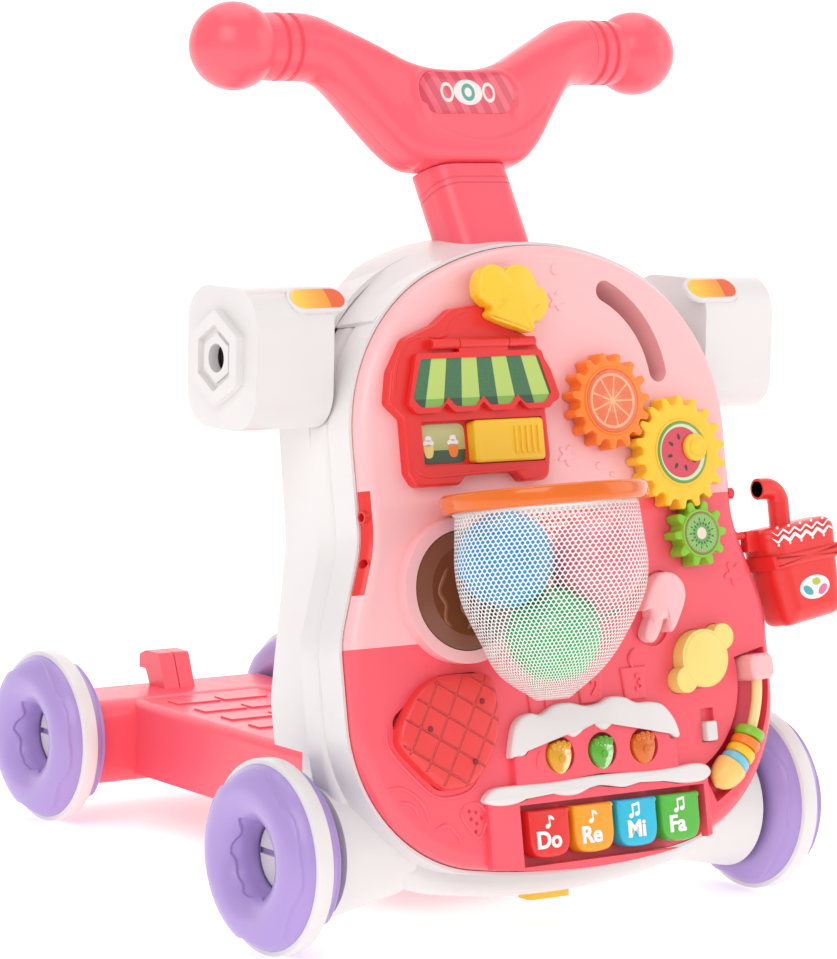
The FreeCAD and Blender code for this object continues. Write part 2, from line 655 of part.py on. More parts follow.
def grip_knob(name, sign, angle):
    """Collar with two grooves and a ball end, turned about the bar's axis."""
    start = "bar_half - knob_x"
    groove = "collar_radius - groove_depth"
    collar = turned(name + "_collar", [
        (start, "0", None), (start, "collar_radius", None),
        (f"{start} + 5", "collar_radius", None), (f"{start} + 6", groove, None),
        (f"{start} + 8", groove, None), (f"{start} + 9", "collar_radius", None),
        (f"{start} + 15", "collar_radius", None), (f"{start} + 16", groove, None),
        (f"{start} + 18", groove, None), (f"{start} + 19", "collar_radius", None),
        ("0", "collar_radius * 0.9", None), ("0", "0", None)])
    knob = fused(name, collar, ball(name + "_ball", "knob_radius"))
    return place(knob, f"{sign}knob_x",
                 f"{FRONT} + bar_y + bar_centre * sin(bar_tilt)",
                 "bar_z + bar_centre * cos(bar_tilt)", (0, 0, 1), angle)


# ---------------------------------------------------------------- deck

def build_deck():
    spine_y = (f"{FRONT} + leg_back", f"{REAR} - beam_depth / 2 + deck_edge * 2")
    spine = slab("spine", rectangle(("-spine_half", "spine_half"), spine_y), "spine_floor",
                 "deck_top", edge="deck_edge")
    beam = slab("beam", rectangle((f"{REAR} - beam_depth / 2", f"{REAR} + beam_depth / 2"),
                                  ("beam_floor", "beam_top"), "deck_edge * 2"),
                f"-{BEAM_END}", BEAM_END, "YZ_Plane")
    spine_room = block("spine_room", ("-spine_half + deck_wall", "spine_half - deck_wall"),
                       (f"{FRONT} + leg_back + deck_wall", REAR),
                       ("spine_floor - 1", "deck_top - deck_wall * 2"))
    beam_room = slab("beam_room", rectangle(
        (f"{REAR} - beam_depth / 2 + deck_wall", f"{REAR} + beam_depth / 2 - deck_wall"),
        ("beam_floor + deck_wall", "beam_top - deck_wall"), "deck_edge"),
        f"-{BEAM_END} + deck_wall", f"{BEAM_END} - deck_wall", "YZ_Plane")
    bore = rod("rear_bore", "axle_radius", f"-{BEAM_END} - 1", f"{BEAM_END} + 1",
               (REAR, "wheel_radius"), "X")
    bars = tread_bars()
    shell = cut("deck_cup", fused("deck_mass", spine, beam, bars), spine_room, beam_room,
                bore)
    piece("deck_shell", shell)
    plate = block("deck_plate", ("-spine_half + deck_wall", "spine_half - deck_wall"),
                  (f"{FRONT} + leg_back + deck_wall", f"{REAR} - beam_depth / 2"),
                  ("spine_floor", "spine_floor + deck_wall"))
    piece("deck_base", plate)
    piece("deck_hook", build_hook())


def tread_bars():
    """Two columns of low cross bars on the deck's top."""
    bars = []
    for column, sign in (("left", "-"), ("right", "")):
        for step in range(int(value("bar_count"))):
            y = f"({REAR} - beam_depth / 2 - 12 - {step} * bar_pitch)"
            low, high = span(sign, "2", "tread_width + 2")
            bars.append(block(f"bar_{column}_{step}", (low, high),
                              (f"{y} - tread_length", y),
                              ("deck_top - 1", "deck_top + tread_high")))
    return fused("tread", *bars)


def build_hook():
    """Towing hook in two halves that meet at a seam, its nose pointing back."""
    foot = "beam_top"
    side = [(f"{REAR} - 4", foot, None), (f"{REAR} + 18", foot, None),
            (f"{REAR} + 24", f"{foot} + hook_rise * 0.45", "3"),
            (f"{REAR} + 33", f"{foot} + hook_rise * 0.45", None),
            (f"{REAR} + 33", f"{foot} + hook_rise * 0.85", "3"),
            (f"{REAR} + 24", f"{foot} + hook_rise", "3"),
            (f"{REAR} + 6", f"{foot} + hook_rise", "3")]
    halves = []
    for name, sign in (("left", "-"), ("right", "")):
        low, high = span(sign, "hook_seam / 2", "hook_half")
        halves.append(slab("hook_" + name, side, low, high, "YZ_Plane"))
    return grouped("hook_halves", *halves)


# ---------------------------------------------------------------- play panel

def sector(name, inner, outer, start, end, low, high):
    """Part of a flat ring about the ring track's centre, between two angles."""
    rings = []
    for part, radius, floor, top in (("outer", outer, low, high),
                                     ("inner", inner, f"{low} - 1", f"{high} + 1")):
        ring = rod(f"{name}_{part}", radius, floor, top)
        bind(ring, Angle=f"({end}) - ({start})" if part == "outer" else "360")
        if part == "outer":
            ring.Placement = Placement(Vector(), Rotation(Vector(0, 0, 1), value(start)))
            bind(ring, Placement__Rotation__Angle=start, Placement__Base__z=low)
        rings.append(ring)
    return place(cut(name, *rings), "track_u", "track_w", "0")


def waffle_outline(grow="0"):
    return proportioned([(0.05, 0.42, 0.10), (0.38, 0.0, 0.16), (0.66, 0.02, 0.14),
                         (0.98, 0.45, 0.16), (0.96, 1.0, 0.16), (0.45, 1.0, 0.30),
                         (0.0, 0.66, 0.10)],
                        f"(waffle_width + 2 * {grow})", f"(waffle_height + 2 * {grow})",
                        "waffle_u", "waffle_w")


def stick_outline(grow="0"):
    return rectangle((f"-stick_width / 2 - {grow}", f"stick_width / 2 + {grow}"),
                     (f"-stick_height / 2 - {grow}", f"stick_height / 2 + {grow}"),
                     "stick_width * 0.46")


def grip_opening(name, grow, low, high):
    """Curved slot that leaves a carrying grip along the panel's upper right shoulder."""
    half = f"(grip_half + {grow})"
    outer = rod(name + "_outer", f"grip_radius + {half}", low, high)
    bind(outer, Angle="grip_end - grip_start")
    outer.Placement = Placement(Vector(), Rotation(Vector(0, 0, 1), value("grip_start")))
    bind(outer, Placement__Rotation__Angle="grip_start", Placement__Base__z=low)
    inner = rod(name + "_inner", f"grip_radius - {half}", f"{low} - 1", f"{high} + 1")
    ends = [rod(f"{name}_{angle}", half, low, high,
                (f"grip_radius * cos({angle})", f"grip_radius * sin({angle})"))
            for angle in ("grip_start", "grip_end")]
    slot = fused(name, cut(name + "_arc", outer, inner), *ends)
    return place(slot, "grip_u", "grip_w", "0")


def well_and_pocket(name, make, depth):
    """A pocket sunk into the panel face, and the block of material that walls it."""
    floor = f"-({depth})"
    return (make(name + "_well", "well_wall", f"{floor} - well_wall", "-panel_face / 2"),
            make(name + "_pocket", "0", floor, "panel_edge"))


def pocket_makers():
    """Name, maker and depth of each pocket in the panel's face."""
    sink = "pad_sink + pad_travel + pad_gap"

    def donut(name, grow, low, high):
        return rod(name, f"donut_radius + pad_gap + {grow}", low, high,
                   ("donut_u", "donut_w"))

    def waffle(name, grow, low, high):
        return slab(name, waffle_outline(f"(pad_gap + {grow})"), low, high)

    def keys(name, grow, low, high):
        half = f"(key_count * key_pitch / 2 + key_gap + {grow})"
        return block(name, (f"key_u - {half}", f"key_u + {half}"),
                     (f"key_low - key_gap - {grow}", f"key_high + key_gap + {grow}"),
                     (low, high))

    def track(name, grow, low, high):
        return sector(name, f"track_radius - track_half - {grow}",
                      f"track_radius + track_half + {grow}", f"track_start - 1.2 * {grow}",
                      f"track_end + 1.2 * {grow}", low, high)

    def switch(name, grow, low, high):
        half = f"(switch_width / 2 + {grow})"
        long = f"((switch_travel + switch_length) / 2 + pad_gap + {grow})"
        return block(name, (f"switch_u - {half}", f"switch_u + {half}"),
                     (f"switch_w - {long}", f"switch_w + {long}"), (low, high))

    def stick(name, grow, low, high):
        thing = slab(name, stick_outline(f"(pad_gap + {grow})"), low, high)
        return place(thing, "stick_u", "stick_w", "0", (0, 0, -1), "stick_lean")

    def candy(name, grow, low, high):
        return candy_form(name, f"pad_gap + {grow}", low, high)

    makers = [("donut", donut, sink), ("waffle", waffle, sink),
              ("keys", keys, "well_depth"), ("track", track, "track_depth"),
              ("switch", switch, "pad_sink + pad_travel"), ("stick", stick, "shape_seat"),
              ("candy", candy, "shape_seat")]
    for number, name in enumerate(("yellow", "green", "orange")):
        def button(name, grow, low, high, number=number):
            return rod(name, f"button_radius + pad_gap + {grow}", low, high,
                       (f"button_u + {number - 1} * button_pitch", "button_w"))
        makers.append(("button_" + name, button, "pad_sink + button_travel + pad_gap"))
    return makers


def candy_form(name, grow, low, high):
    """Round sweet with a twisted end on each side."""
    body = rod(name + "_body", f"candy_radius + {grow}", low, high, ("candy_u", "candy_w"))
    ends = []
    for end, sign in (("upper", "+"), ("lower", "-")):
        at = (f"candy_u {sign} candy_offset * cos(candy_lean)",
              f"candy_w {sign} candy_offset * sin(candy_lean)")
        ends.append(rod(f"{name}_{end}", f"candy_twist + {grow}", low, high, at))
    return fused(name, body, *ends)


def gear_spots():
    """Centre formulas of the three gears, the outer two meshing with the yellow one."""
    def meshed(teeth, bearing):
        apart = f"gear_module * (yellow_teeth + {teeth}) / 2"
        return (f"yellow_u + {apart} * cos({bearing})", f"yellow_w + {apart} * sin({bearing})")
    return {"yellow": ("yellow_u", "yellow_w"),
            "orange": meshed("orange_teeth", "orange_bearing"),
            "green": meshed("green_teeth", "green_bearing")}


def edge_band(name, sign, grow):
    """Stretch of the panel's rounded edge that a side socket's plate takes up."""
    low, high = span(sign, "0", "belly_half + 20")
    stretch = block(name + "_stretch", (low, high),
                    (f"side_low - {grow}", f"side_high + {grow}"),
                    (f"-side_back - {grow}", f"-side_front + {grow}"))
    inside = slab(name + "_inside", play_outline(f"(-side_thick - {grow})"),
                  "-panel_depth", "1")
    return cut(name, stretch, inside)


def build_panel():
    outer = slab("panel_outer", play_outline(), "-panel_depth", "0", edge="panel_edge")
    room = slab("panel_room", play_outline("(-panel_wall)", "(-panel_wall)"),
                "-panel_depth - 1", "-panel_face")
    makers = [well_and_pocket(*maker) for maker in pocket_makers()]
    wells = [well for well, _ in makers]
    pockets = [pocket for _, pocket in makers]
    for side, sign in (("left", "-"), ("right", "")):
        wells.append(edge_band("side_well_" + side, sign, "well_wall"))
        pockets.append(edge_band("side_pocket_" + side, sign, "0"))
    wells.append(grip_opening("grip_well", "well_wall", "-panel_depth", "-panel_face / 2"))
    pockets.append(grip_opening("grip_pocket", "0", "-panel_depth - 1", "panel_edge"))
    spindles = [rod("spindle_" + name, "spindle_radius", "-panel_face", "spindle_height", spot)
                for name, spot in gear_spots().items()]
    spindles.append(rod("hat_post", "post_radius", "-panel_face", "hat_high - 3",
                        ("hat_u", "hat_w")))
    hollow = cut("panel_hollow", outer, room)
    walled = common("panel_walled", fused("panel_wells", hollow, *wells),
                    slab("panel_limit", play_outline(), "-panel_depth", "0",
                         edge="panel_edge"))
    raised = fused("panel_raised", walled, cake_block())
    blank = fused("panel_blank", cut("panel_pocketed", raised, *pockets), *spindles)
    ring = rod("donut_ring_outer", "donut_ring", "-0.1", "donut_ring_high",
               ("donut_u", "donut_w"))
    hole = rod("donut_ring_hole", "donut_radius + pad_gap", "-1", "donut_ring_high + 1",
               ("donut_u", "donut_w"))
    zone = lower_zone()
    upper = cut("upper_skin", blank, zone)
    piece("panel_upper", on_panel(fused("upper_whole", upper,
                                        cut("donut_ring_form", ring, hole))))
    piece("panel_lower", on_panel(common("lower_skin", blank, lower_zone("again"))))


def cake_block():
    """Raised cake above a wider raised piano, cut away where the icing lies."""
    deep = ("-panel_face / 2", "cake_rise")
    cake = slab("cake_form", [
        ("cake_u - cake_width / 2 + icing_high / 2", "cake_foot - 1", None),
        ("cake_u + cake_width / 2 - icing_high / 2", "cake_foot - 1", None),
        ("cake_u + cake_width / 2 - icing_high / 2", "cake_top", "cake_round"),
        ("cake_u - cake_width / 2 + icing_high / 2", "cake_top", "cake_round")],
        *deep, edge="1.5")
    piano = common("piano_form", slab("piano_mass", rectangle(
        ("piano_left", "piano_right"), ("panel_bottom - 10", "cake_foot"), "6"), *deep,
        edge="1.5"), slab("piano_limit", play_outline("(-panel_edge * 0.4)"), *deep))
    icing = [slab(f"icing_seat_{name}", outline, "0", "icing_high")
             for name, outline in (("upper", icing_upper()), ("lower", icing_lower()))]
    return cut("cake_block", fused("cake_mass", cake, piano), *icing)


def lower_zone(tag=""):
    """Region of the panel that the lower moulding covers, scooped out under the ring."""
    deep = ("-panel_depth - 2", "spindle_height + 10")
    left = block("zone_low" + tag, ("-belly_half - 20", "belly_half + 20"),
                 ("0", "split_left"), deep)
    right = block("zone_high" + tag, ("-split_step", "belly_half + 20"), ("0", "split_right"),
                  deep)
    scoop = rod("zone_scoop" + tag, "donut_ring", *deep, ("donut_u", "donut_w"))
    return cut("zone" + tag, fused("zone_mass" + tag, left, right), scoop)


def build_panel_back():
    level = ("-panel_depth - back_plate", "-panel_depth")
    plate = slab("back_form", play_outline("(-panel_wall)", "(-panel_wall)"), *level)
    grip = grip_opening("back_grip", "well_wall", "-panel_depth - back_plate - 1",
                        "-panel_depth + 1")
    half = ("door_width / 2", "door_height / 2")
    at_w = "(side_low + side_high) / 2"
    door = block("door_form", (f"-{half[0]}", half[0]),
                 (f"{at_w} - {half[1]}", f"{at_w} + {half[1]}"), level)
    piece("panel_back", on_panel(cut("back_cut", plate, grip, door)))
    piece("battery_cover", on_panel(block("door_plate", (f"-{half[0]}", half[0]),
                                          (f"{at_w} - {half[1]}", f"{at_w} + {half[1]}"),
                                          level)))
    low = "-panel_depth"
    cells = [rod(f"cell_{number}", "cell_radius", "-cell_length / 2", "cell_length / 2",
                 (f"{at_w} + {number - 1} * (cell_radius * 2 + 1)", f"{low} + cell_radius"),
                 "X") for number in range(3)]
    piece("batteries", on_panel(grouped("cell_set", *cells)))
    board = block("board_plate", ("-board_width / 2", "board_width / 2"),
                  (f"{at_w} + 34", f"{at_w} + 34 + board_height"), (low, f"{low} + 2"))
    speaker = taper("speaker_cone", "12", "20", f"{low} + 2", f"{low} + 12",
                    ("0", f"{at_w} + 34 + board_height / 2"))
    piece("sound_module", on_panel(grouped("sound_pair", board, speaker)))


# ---------------------------------------------------------------- van, flap, shutter, hat

def hinge_spot():
    """Height up the panel and height above it of the flap's hinge line."""
    return "(van_w + 31.5)", "(van_high + hinge_radius + 0.3)"


def van_outline():
    return proportioned([
        (0.12, 0.0, 0.05), (0.367, 0.0, 0.03), (0.41, 0.053, 0.03), (0.69, 0.053, 0.03),
        (0.73, 0.0, 0.03), (0.885, 0.0, 0.05), (0.907, 0.14, 0.05), (0.90, 0.40, 0.02),
        (1.0, 0.455, 0.03), (0.955, 0.62, 0.05), (0.865, 0.79, 0.06), (0.70, 0.886, 0.05),
        (0.573, 1.0, 0.05), (0.40, 0.974, 0.06), (0.30, 0.89, 0.04), (0.13, 0.82, 0.06),
        (0.03, 0.64, 0.05), (0.0, 0.465, 0.03), (0.08, 0.377, 0.02), (0.08, 0.08, 0.03)],
        "van_width", "van_height", "van_u", "van_w")


def shutter_row():
    """Levels of the shutter's track up the panel, and its right end across."""
    low = "(van_w - 44)"
    return low, f"({low} + shutter_tall)", "(van_u + 49)"


def build_van():
    low, high, right = shutter_row()
    house = slab("van_form", van_outline(), "0", "van_high", edge="van_edge")
    track = block("van_track",
                  (f"{right} - shutter_width - shutter_travel - slide_gap",
                   f"{right} + slide_gap"),
                  (f"{low} - slide_gap", f"{high} + slide_gap"),
                  ("track_floor", "van_high + 1"))
    hinge_w, hinge_h = hinge_spot()
    parts = [cut("van_tracked", house, track)]
    for end, sign in (("left", "-"), ("right", "+")):
        low_u = (f"van_u + hinge_shift {sign} (barrel_length / 2 + slide_gap)"
                 + (" - knuckle_length" if sign == "-" else ""))
        parts.append(block(f"knuckle_foot_{end}", (low_u, f"{low_u} + knuckle_length"),
                           (f"{hinge_w} - hinge_radius", f"{hinge_w} + hinge_radius"),
                           ("van_high - 1", hinge_h)))
        parts.append(rod(f"knuckle_{end}", "hinge_radius", low_u, f"{low_u} + knuckle_length",
                         (hinge_w, hinge_h), "X"))
    reach = "(barrel_length / 2 + slide_gap + knuckle_length + 1)"
    bore = rod("knuckle_bore", "pin_radius + run_gap", f"van_u + hinge_shift - {reach}",
               f"van_u + hinge_shift + {reach}", (hinge_w, hinge_h), "X")
    piece("van_housing", on_panel(cut("van_bored", fused("van_mass", *parts), bore)))


def flap_outline(inset):
    """Awning: straight top, flared sides and a scalloped lower edge."""
    half = f"(flap_width / 2 - {inset})"
    top, low = f"(-5.5 - {inset})", f"(-flap_drop + {inset})"
    corners = [(f"-{half} * 0.85", top, "3"), (f"-{half}", f"{low} + scallop", "2")]
    for step in range(4):
        start = f"(-{half} + {half} * {step} / 2)"
        corners += [(f"{start} + {half} * 0.1", low, "5"), (f"{start} + {half} * 0.4", low, "5")]
        if step < 3:
            corners.append((f"{start} + {half} / 2", f"{low} + scallop", "1"))
    corners += [(half, f"{low} + scallop", "2"), (f"{half} * 0.85", top, "3")]
    return corners


def flap_slab(name, inset, low, high):
    return place(slab(name, flap_outline(inset), low, high), "van_u + flap_shift",
                 hinge_spot()[0], "0")


def build_flap():
    hinge_w, hinge_h = hinge_spot()
    levels = ("van_high + 0.3", "van_high + 0.3 + flap_thick")
    frame = flap_slab("flap_form", "0", *levels)
    hole = flap_slab("flap_hole", "window_rim", f"{levels[0]} - 1", f"{levels[1]} + 1")
    middle = "van_u + hinge_shift"
    barrel = rod("flap_barrel", "hinge_radius", f"{middle} - barrel_length / 2",
                 f"{middle} + barrel_length / 2", (hinge_w, hinge_h), "X")
    tongue = block("flap_tongue", (f"{middle} - barrel_length / 2",
                                   f"{middle} + barrel_length / 2"),
                   (f"{hinge_w} - 7", hinge_w), levels)
    pin = rod("flap_pin", "pin_radius", f"{middle} - barrel_length / 2 - knuckle_length",
              f"{middle} + barrel_length / 2 + knuckle_length", (hinge_w, hinge_h), "X")
    piece("flap_frame", on_panel(fused("flap_whole", cut("flap_open", frame, hole), barrel,
                                       tongue, pin)))
    piece("flap_window", on_panel(flap_slab("window_form", "window_rim",
                                            f"{levels[0]} + 0.5", f"{levels[1]} - 0.8")))


def build_shutter():
    low, high, right = shutter_row()
    plate = slab("shutter_form", rectangle((f"{right} - shutter_width", right), (low, high),
                                           "3"), "track_floor + 0.3", "shutter_high",
                 edge="2")
    ribs = [block(f"shutter_rib_{n}", (f"{right} - 24 + {n} * 4.5",
                                       f"{right} - 24 + {n} * 4.5 + 2"),
                  (f"{low} + 5", f"{high} - 5"), ("shutter_high - 1", "shutter_high + 1"))
            for n in range(5)]
    piece("van_shutter", on_panel(fused("shutter_whole", plate, *ribs)))


def build_hat():
    """Puffed crown on a straight band, turning on the post behind it."""
    puffs = []
    for name, reach, rise in (("left", "-16.5", "5"), ("middle", "0", "10"),
                              ("right", "12", "5"), ("heart", "0", "-3")):
        puffs.append(rod("puff_" + name, "puff_radius", "hat_low", "hat_high",
                         (reach, rise)))
    band = slab("hat_band", rectangle(("-16", "18"), ("-15", "-2"), "3"), "hat_low",
                "hat_high")
    hole = rod("hat_hole", "post_radius + run_gap", "hat_low - 1", "hat_high - 2.8")
    hat = cut("hat_bored", fused("hat_mass", band, *puffs), hole)
    place(hat, "hat_u", "hat_w", "0", (0, 0, -1), "hat_tilt")
    piece("chef_hat", on_panel(hat))


# ---------------------------------------------------------------- gears

def gear(name, teeth, phase, extra=()):
    """Toothed wheel about its own Z axis with a blind bore in its back."""
    pitch = f"(gear_module * {teeth} / 2)"
    body = doc.addObject("PartDesign::Body", name + "_wheel")
    root = f"({pitch} - tooth_root)"
    sketch_circle = body.newObject("Sketcher::SketchObject", name + "_disc")
    plane = [f for f in body.Origin.OriginFeatures if f.Role == "XY_Plane"][0]
    sketch_circle.AttachmentSupport = [(plane, "")]
    sketch_circle.MapMode = "FlatFace"
    bind(sketch_circle, AttachmentOffset__Base__z="gear_low")
    sketch_circle.addGeometry(Part.Circle(Vector(), Vector(0, 0, 1), value(root)), False)
    sketch_circle.addConstraint([Sketcher.Constraint("Coincident", 0, 3, -1, 1),
                                 Sketcher.Constraint("Radius", 0, value(root))])
    sketch_circle.setExpression("Constraints[1]", in_sheet(root))
    disc = body.newObject("PartDesign::Pad", name + "_disc_pad")
    disc.Profile = sketch_circle
    bind(disc, Length="gear_high - gear_low")
    tip, half = f"({pitch} + tooth_rise)", "(tooth_width / 2)"
    tooth = sketch_in(body, [
        (f"{root} - 2", f"-{half} * 1.9", None), (tip, f"-{half} * 0.62", "tooth_width * 0.18"),
        (tip, f"{half} * 0.62", "tooth_width * 0.18"), (f"{root} - 2", f"{half} * 1.9", None)],
        lift="gear_low", turn=phase)
    pad = body.newObject("PartDesign::Pad", name + "_tooth_pad")
    pad.Profile = tooth
    bind(pad, Length="gear_high - gear_low")
    doc.recompute()
    ring = body.newObject("PartDesign::PolarPattern", name + "_teeth")
    ring.Originals = [pad]
    ring.Axis = (sketch_circle, ["N_Axis"])
    ring.Angle = 360
    ring.Occurrences = int(value(teeth))
    bind(ring, Occurrences=teeth)
    body.Tip = ring
    bore = rod(name + "_bore", "spindle_radius + run_gap", "gear_low - 1",
               "spindle_height + 0.5")
    mass = fused(name + "_mass", body, *extra) if extra else body
    return cut(name + "_bored", mass, bore)


def build_gears():
    spots = gear_spots()
    slip = "mod(green_bearing - orange_bearing + 720; 360 / yellow_teeth)"
    phases = {"yellow": "orange_bearing",
              "orange": "orange_bearing + 180 + 180 / orange_teeth",
              "green": ("green_bearing + 180 + 180 / green_teeth"
                        f" + {slip} * yellow_teeth / green_teeth")}
    for name, spot in spots.items():
        extra = ()
        if name == "yellow":
            knob_at = ("crank_offset * cos(15)", "crank_offset * sin(15)")
            boss = rod("crank_boss", "crank_radius", "gear_high - 1",
                       "gear_high + crank_rise", knob_at)
            dish = rod("crank_dish", "crank_radius - 2", "gear_high + crank_rise / 2",
                       "gear_high + crank_rise + 1", knob_at)
            extra = (cut("crank_knob", boss, dish),)
        wheel = gear("gear_" + name, name + "_teeth", phases[name], extra)
        piece("gear_" + name, on_panel(wheel, *spot))


# ---------------------------------------------------------------- pads, shapes, buttons, keys

def build_pads():
    dome = "donut_high - 4"
    base = rod("donut_base", "donut_radius", "-pad_sink", dome, ("donut_u", "donut_w"))
    top = taper("donut_top", "donut_radius", "donut_radius - 9", dome, "donut_high",
                ("donut_u", "donut_w"))
    piece("donut_pad", on_panel(fused("donut_form", base, top)))
    piece("waffle_pad", on_panel(slab("waffle_form", waffle_outline(), "-pad_sink",
                                      "waffle_high", edge="3")))


def build_shapes():
    """Popsicle and sweet that lift out of their shallow seats."""
    bar = slab("stick_bar", stick_outline(), "-shape_seat + pad_gap / 2", "shape_high",
               edge="3")
    place(bar, "stick_u", "stick_w", "0", (0, 0, -1), "stick_lean")
    piece("popsicle", on_panel(bar))
    piece("candy", on_panel(candy_form("candy_form", "0", "-shape_seat + pad_gap / 2",
                                       "shape_high")))


def build_buttons():
    for number, name in enumerate(("yellow", "green", "orange")):
        at = (f"button_u + {number - 1} * button_pitch", "button_w")
        base = rod(f"button_base_{name}", "button_radius", "-pad_sink", "button_high - 3", at)
        top = taper(f"button_top_{name}", "button_radius", "button_radius - 3.5",
                    "button_high - 3", "button_high", at)
        piece("fruit_button_" + name, on_panel(fused(f"button_{name}", base, top)))


def build_keys():
    for number, name in enumerate(("do", "re", "mi", "fa")):
        left = f"(key_u + ({number} - key_count / 2) * key_pitch + key_gap / 2)"
        body = slab("key_form_" + name,
                    [(f"{left} + key_pitch - key_gap", "key_low", "key_round"),
                     (f"{left} + key_pitch - key_gap", "key_high", "1"),
                     (left, "key_high", "1"), (left, "key_low", "key_round")],
                    "-key_sink", "key_rise", edge="2.5")
        pivot = rod("key_pivot_" + name, "key_pivot", left, f"{left} + key_pitch - key_gap",
                    ("key_high - key_pivot", "-key_sink"), "X")
        piece("key_" + name, on_panel(fused("key_whole_" + name, body, pivot)))


def build_switch():
    low = "(switch_w - (switch_travel + switch_length) / 2)"
    knob = slab("switch_form", rectangle(
        ("switch_u - switch_width / 2 + 1", "switch_u + switch_width / 2 - 1"),
        (low, f"{low} + switch_length"), "2"), "-pad_travel", "switch_high", edge="1.5")
    piece("power_switch", on_panel(knob))


def icing_upper():
    return proportioned([
        (0.0, 0.0, 0.015), (0.09, 0.0, 0.015), (0.14, 0.30, 0.03), (0.20, 0.50, 0.03),
        (0.26, 0.48, 0.03), (0.37, 0.31, 0.03), (0.46, 0.52, 0.03), (0.55, 0.34, 0.03),
        (0.63, 0.52, 0.03), (0.72, 0.34, 0.03), (0.81, 0.50, 0.03), (0.90, 0.32, 0.03),
        (0.94, 0.0, 0.012), (1.0, 0.0, 0.015), (0.965, 0.50, 0.06), (0.88, 0.81, 0.05),
        (0.78, 0.79, 0.05), (0.64, 1.0, 0.05), (0.52, 0.86, 0.05), (0.32, 0.97, 0.05),
        (0.18, 0.74, 0.05), (0.10, 0.84, 0.04), (0.04, 0.58, 0.05)],
        "cake_width", "32", "cake_u", "cake_w + 14")


def icing_lower():
    return proportioned([
        (0.0, 0.45, None), (0.05, 0.1, 0.02), (0.15, 0.1, 0.02), (0.24, 0.45, 0.02),
        (0.36, 0.15, 0.02), (0.48, 0.45, 0.02), (0.60, 0.2, 0.02), (0.72, 0.45, 0.02),
        (0.84, 0.1, 0.02), (0.95, 0.1, 0.02), (1.0, 0.45, None), (0.96, 0.95, 0.02),
        (0.75, 0.8, 0.02), (0.5, 1.0, 0.03), (0.25, 0.8, 0.02), (0.04, 0.95, 0.02)],
        "cake_width * 1.33", "14", "cake_u", "key_high + key_gap + 7.5")


def build_icing():
    upper = slab("icing_top", icing_upper(), "0", "icing_high")
    lower = slab("icing_low", icing_lower(), "0", "icing_high")
    piece("cake_icing", on_panel(grouped("icing_pair", upper, lower)))


# ---------------------------------------------------------------- ring track

def on_track(thing, angle, high):
    """Place a thing drawn about the Y axis on the ring track at an angle."""
    return place(thing, f"track_u + track_radius * cos({angle})",
                 f"track_w + track_radius * sin({angle})", high, (0, 0, 1), angle)


def build_track():
    arc = doc.addObject("Part::Torus", "rod_arc")
    bind(arc, Radius1="track_radius", Radius2="rod_radius",
         Angle3="track_end - track_start - 8")
    place(arc, "track_u", "track_w", "rod_high", (0, 0, 1), "track_start + 4")
    piece("bead_rod", on_panel(arc))
    cream = slab("cream_form", rectangle(("-cream_half", "cream_half"),
                                         ("-cream_half * 0.9", "cream_half * 0.9"), "5"),
                 "-track_depth", "rod_high + bead_radius - 1", edge="3")
    on_track(cream, "track_end - 8", "0")
    cone = taper("cone_form", "bead_radius + 1", "5", "0", "19", ("0", "rod_high"), "Y")
    cone.Placement = Placement(Vector(), Rotation(Vector(1, 0, 0), 90))
    place(cone, "0", "0", "rod_high")
    tip = grouped("cone_holder", cone)
    on_track(tip, "bead_first - bead_step / 2 - 0.4", "0")
    foot = rod("cone_foot", "5", "-track_depth", "rod_high",
               ("track_u + track_radius * cos(bead_first - bead_step / 2 - 6)",
                "track_w + track_radius * sin(bead_first - bead_step / 2 - 6)"))
    piece("bead_cream", on_panel(cut("cream_bored", cream, arc)))
    piece("bead_cone", on_panel(cut("cone_bored", fused("cone_whole", tip, foot), arc)))
    beads = []
    for number in range(int(value("bead_count"))):
        disc = rod(f"bead_{number}", "bead_radius", "-bead_width / 2", "bead_width / 2",
                   ("0", "rod_high"), "Y")
        hole = rod(f"bead_hole_{number}", "rod_radius + bead_gap", "-bead_width",
                   "bead_width", ("0", "rod_high"), "Y")
        beads.append(on_track(cut(f"bead_ring_{number}", disc, hole),
                              f"(bead_first + {number} * bead_step)", "0"))
    piece("stacking_rings", on_panel(grouped("bead_set", *beads)))


# ---------------------------------------------------------------- hoop, net and balls

def build_hoop():
    band = ("hoop_w - hoop_band / 2", "hoop_w + hoop_band / 2")
    at = ("hoop_u", "hoop_high")
    ring = rod("hoop_outer", "hoop_radius", *band, at, "Y")
    mount = block("hoop_block", ("hoop_u - hoop_mount / 2", "hoop_u + hoop_mount / 2"), band,
                  ("0", "hoop_wall"))
    hole = rod("hoop_inner", "hoop_radius - hoop_wall", f"{band[0]} - 1", f"{band[1]} + 1",
               at, "Y")
    behind = block("hoop_behind", ("hoop_u - hoop_radius", "hoop_u + hoop_radius"),
                   (f"{band[0]} - 2", f"{band[1]} + 2"), ("-hoop_radius", "0"))
    solid = cut("hoop_round", ring, hole, behind)
    piece("hoop", on_panel(fused("hoop_whole", solid,
                                 cut("hoop_mount_cut", mount, copy_hole(band, at)))))


def copy_hole(band, at):
    return rod("hoop_mount_hole", "hoop_radius - hoop_wall", f"{band[0]} - 1",
               f"{band[1]} + 1", at, "Y")


NET_RINGS = [  # below the hoop, across, out of the panel, half width, half depth
    ("8", "0", "64", "net_radius", "net_radius - 7"),
    ("35", "1", "66", "net_radius * 1.17", "net_radius * 0.80"),
    ("60", "2", "64", "net_radius * 1.12", "net_radius * 0.75"),
    ("85", "2", "59", "net_radius * 0.86", "net_radius * 0.66"),
    ("107", "3", "51", "net_radius * 0.58", "net_radius * 0.50"),
    ("125", "6", "45", "net_radius * 0.17", "net_radius * 0.16"),
]


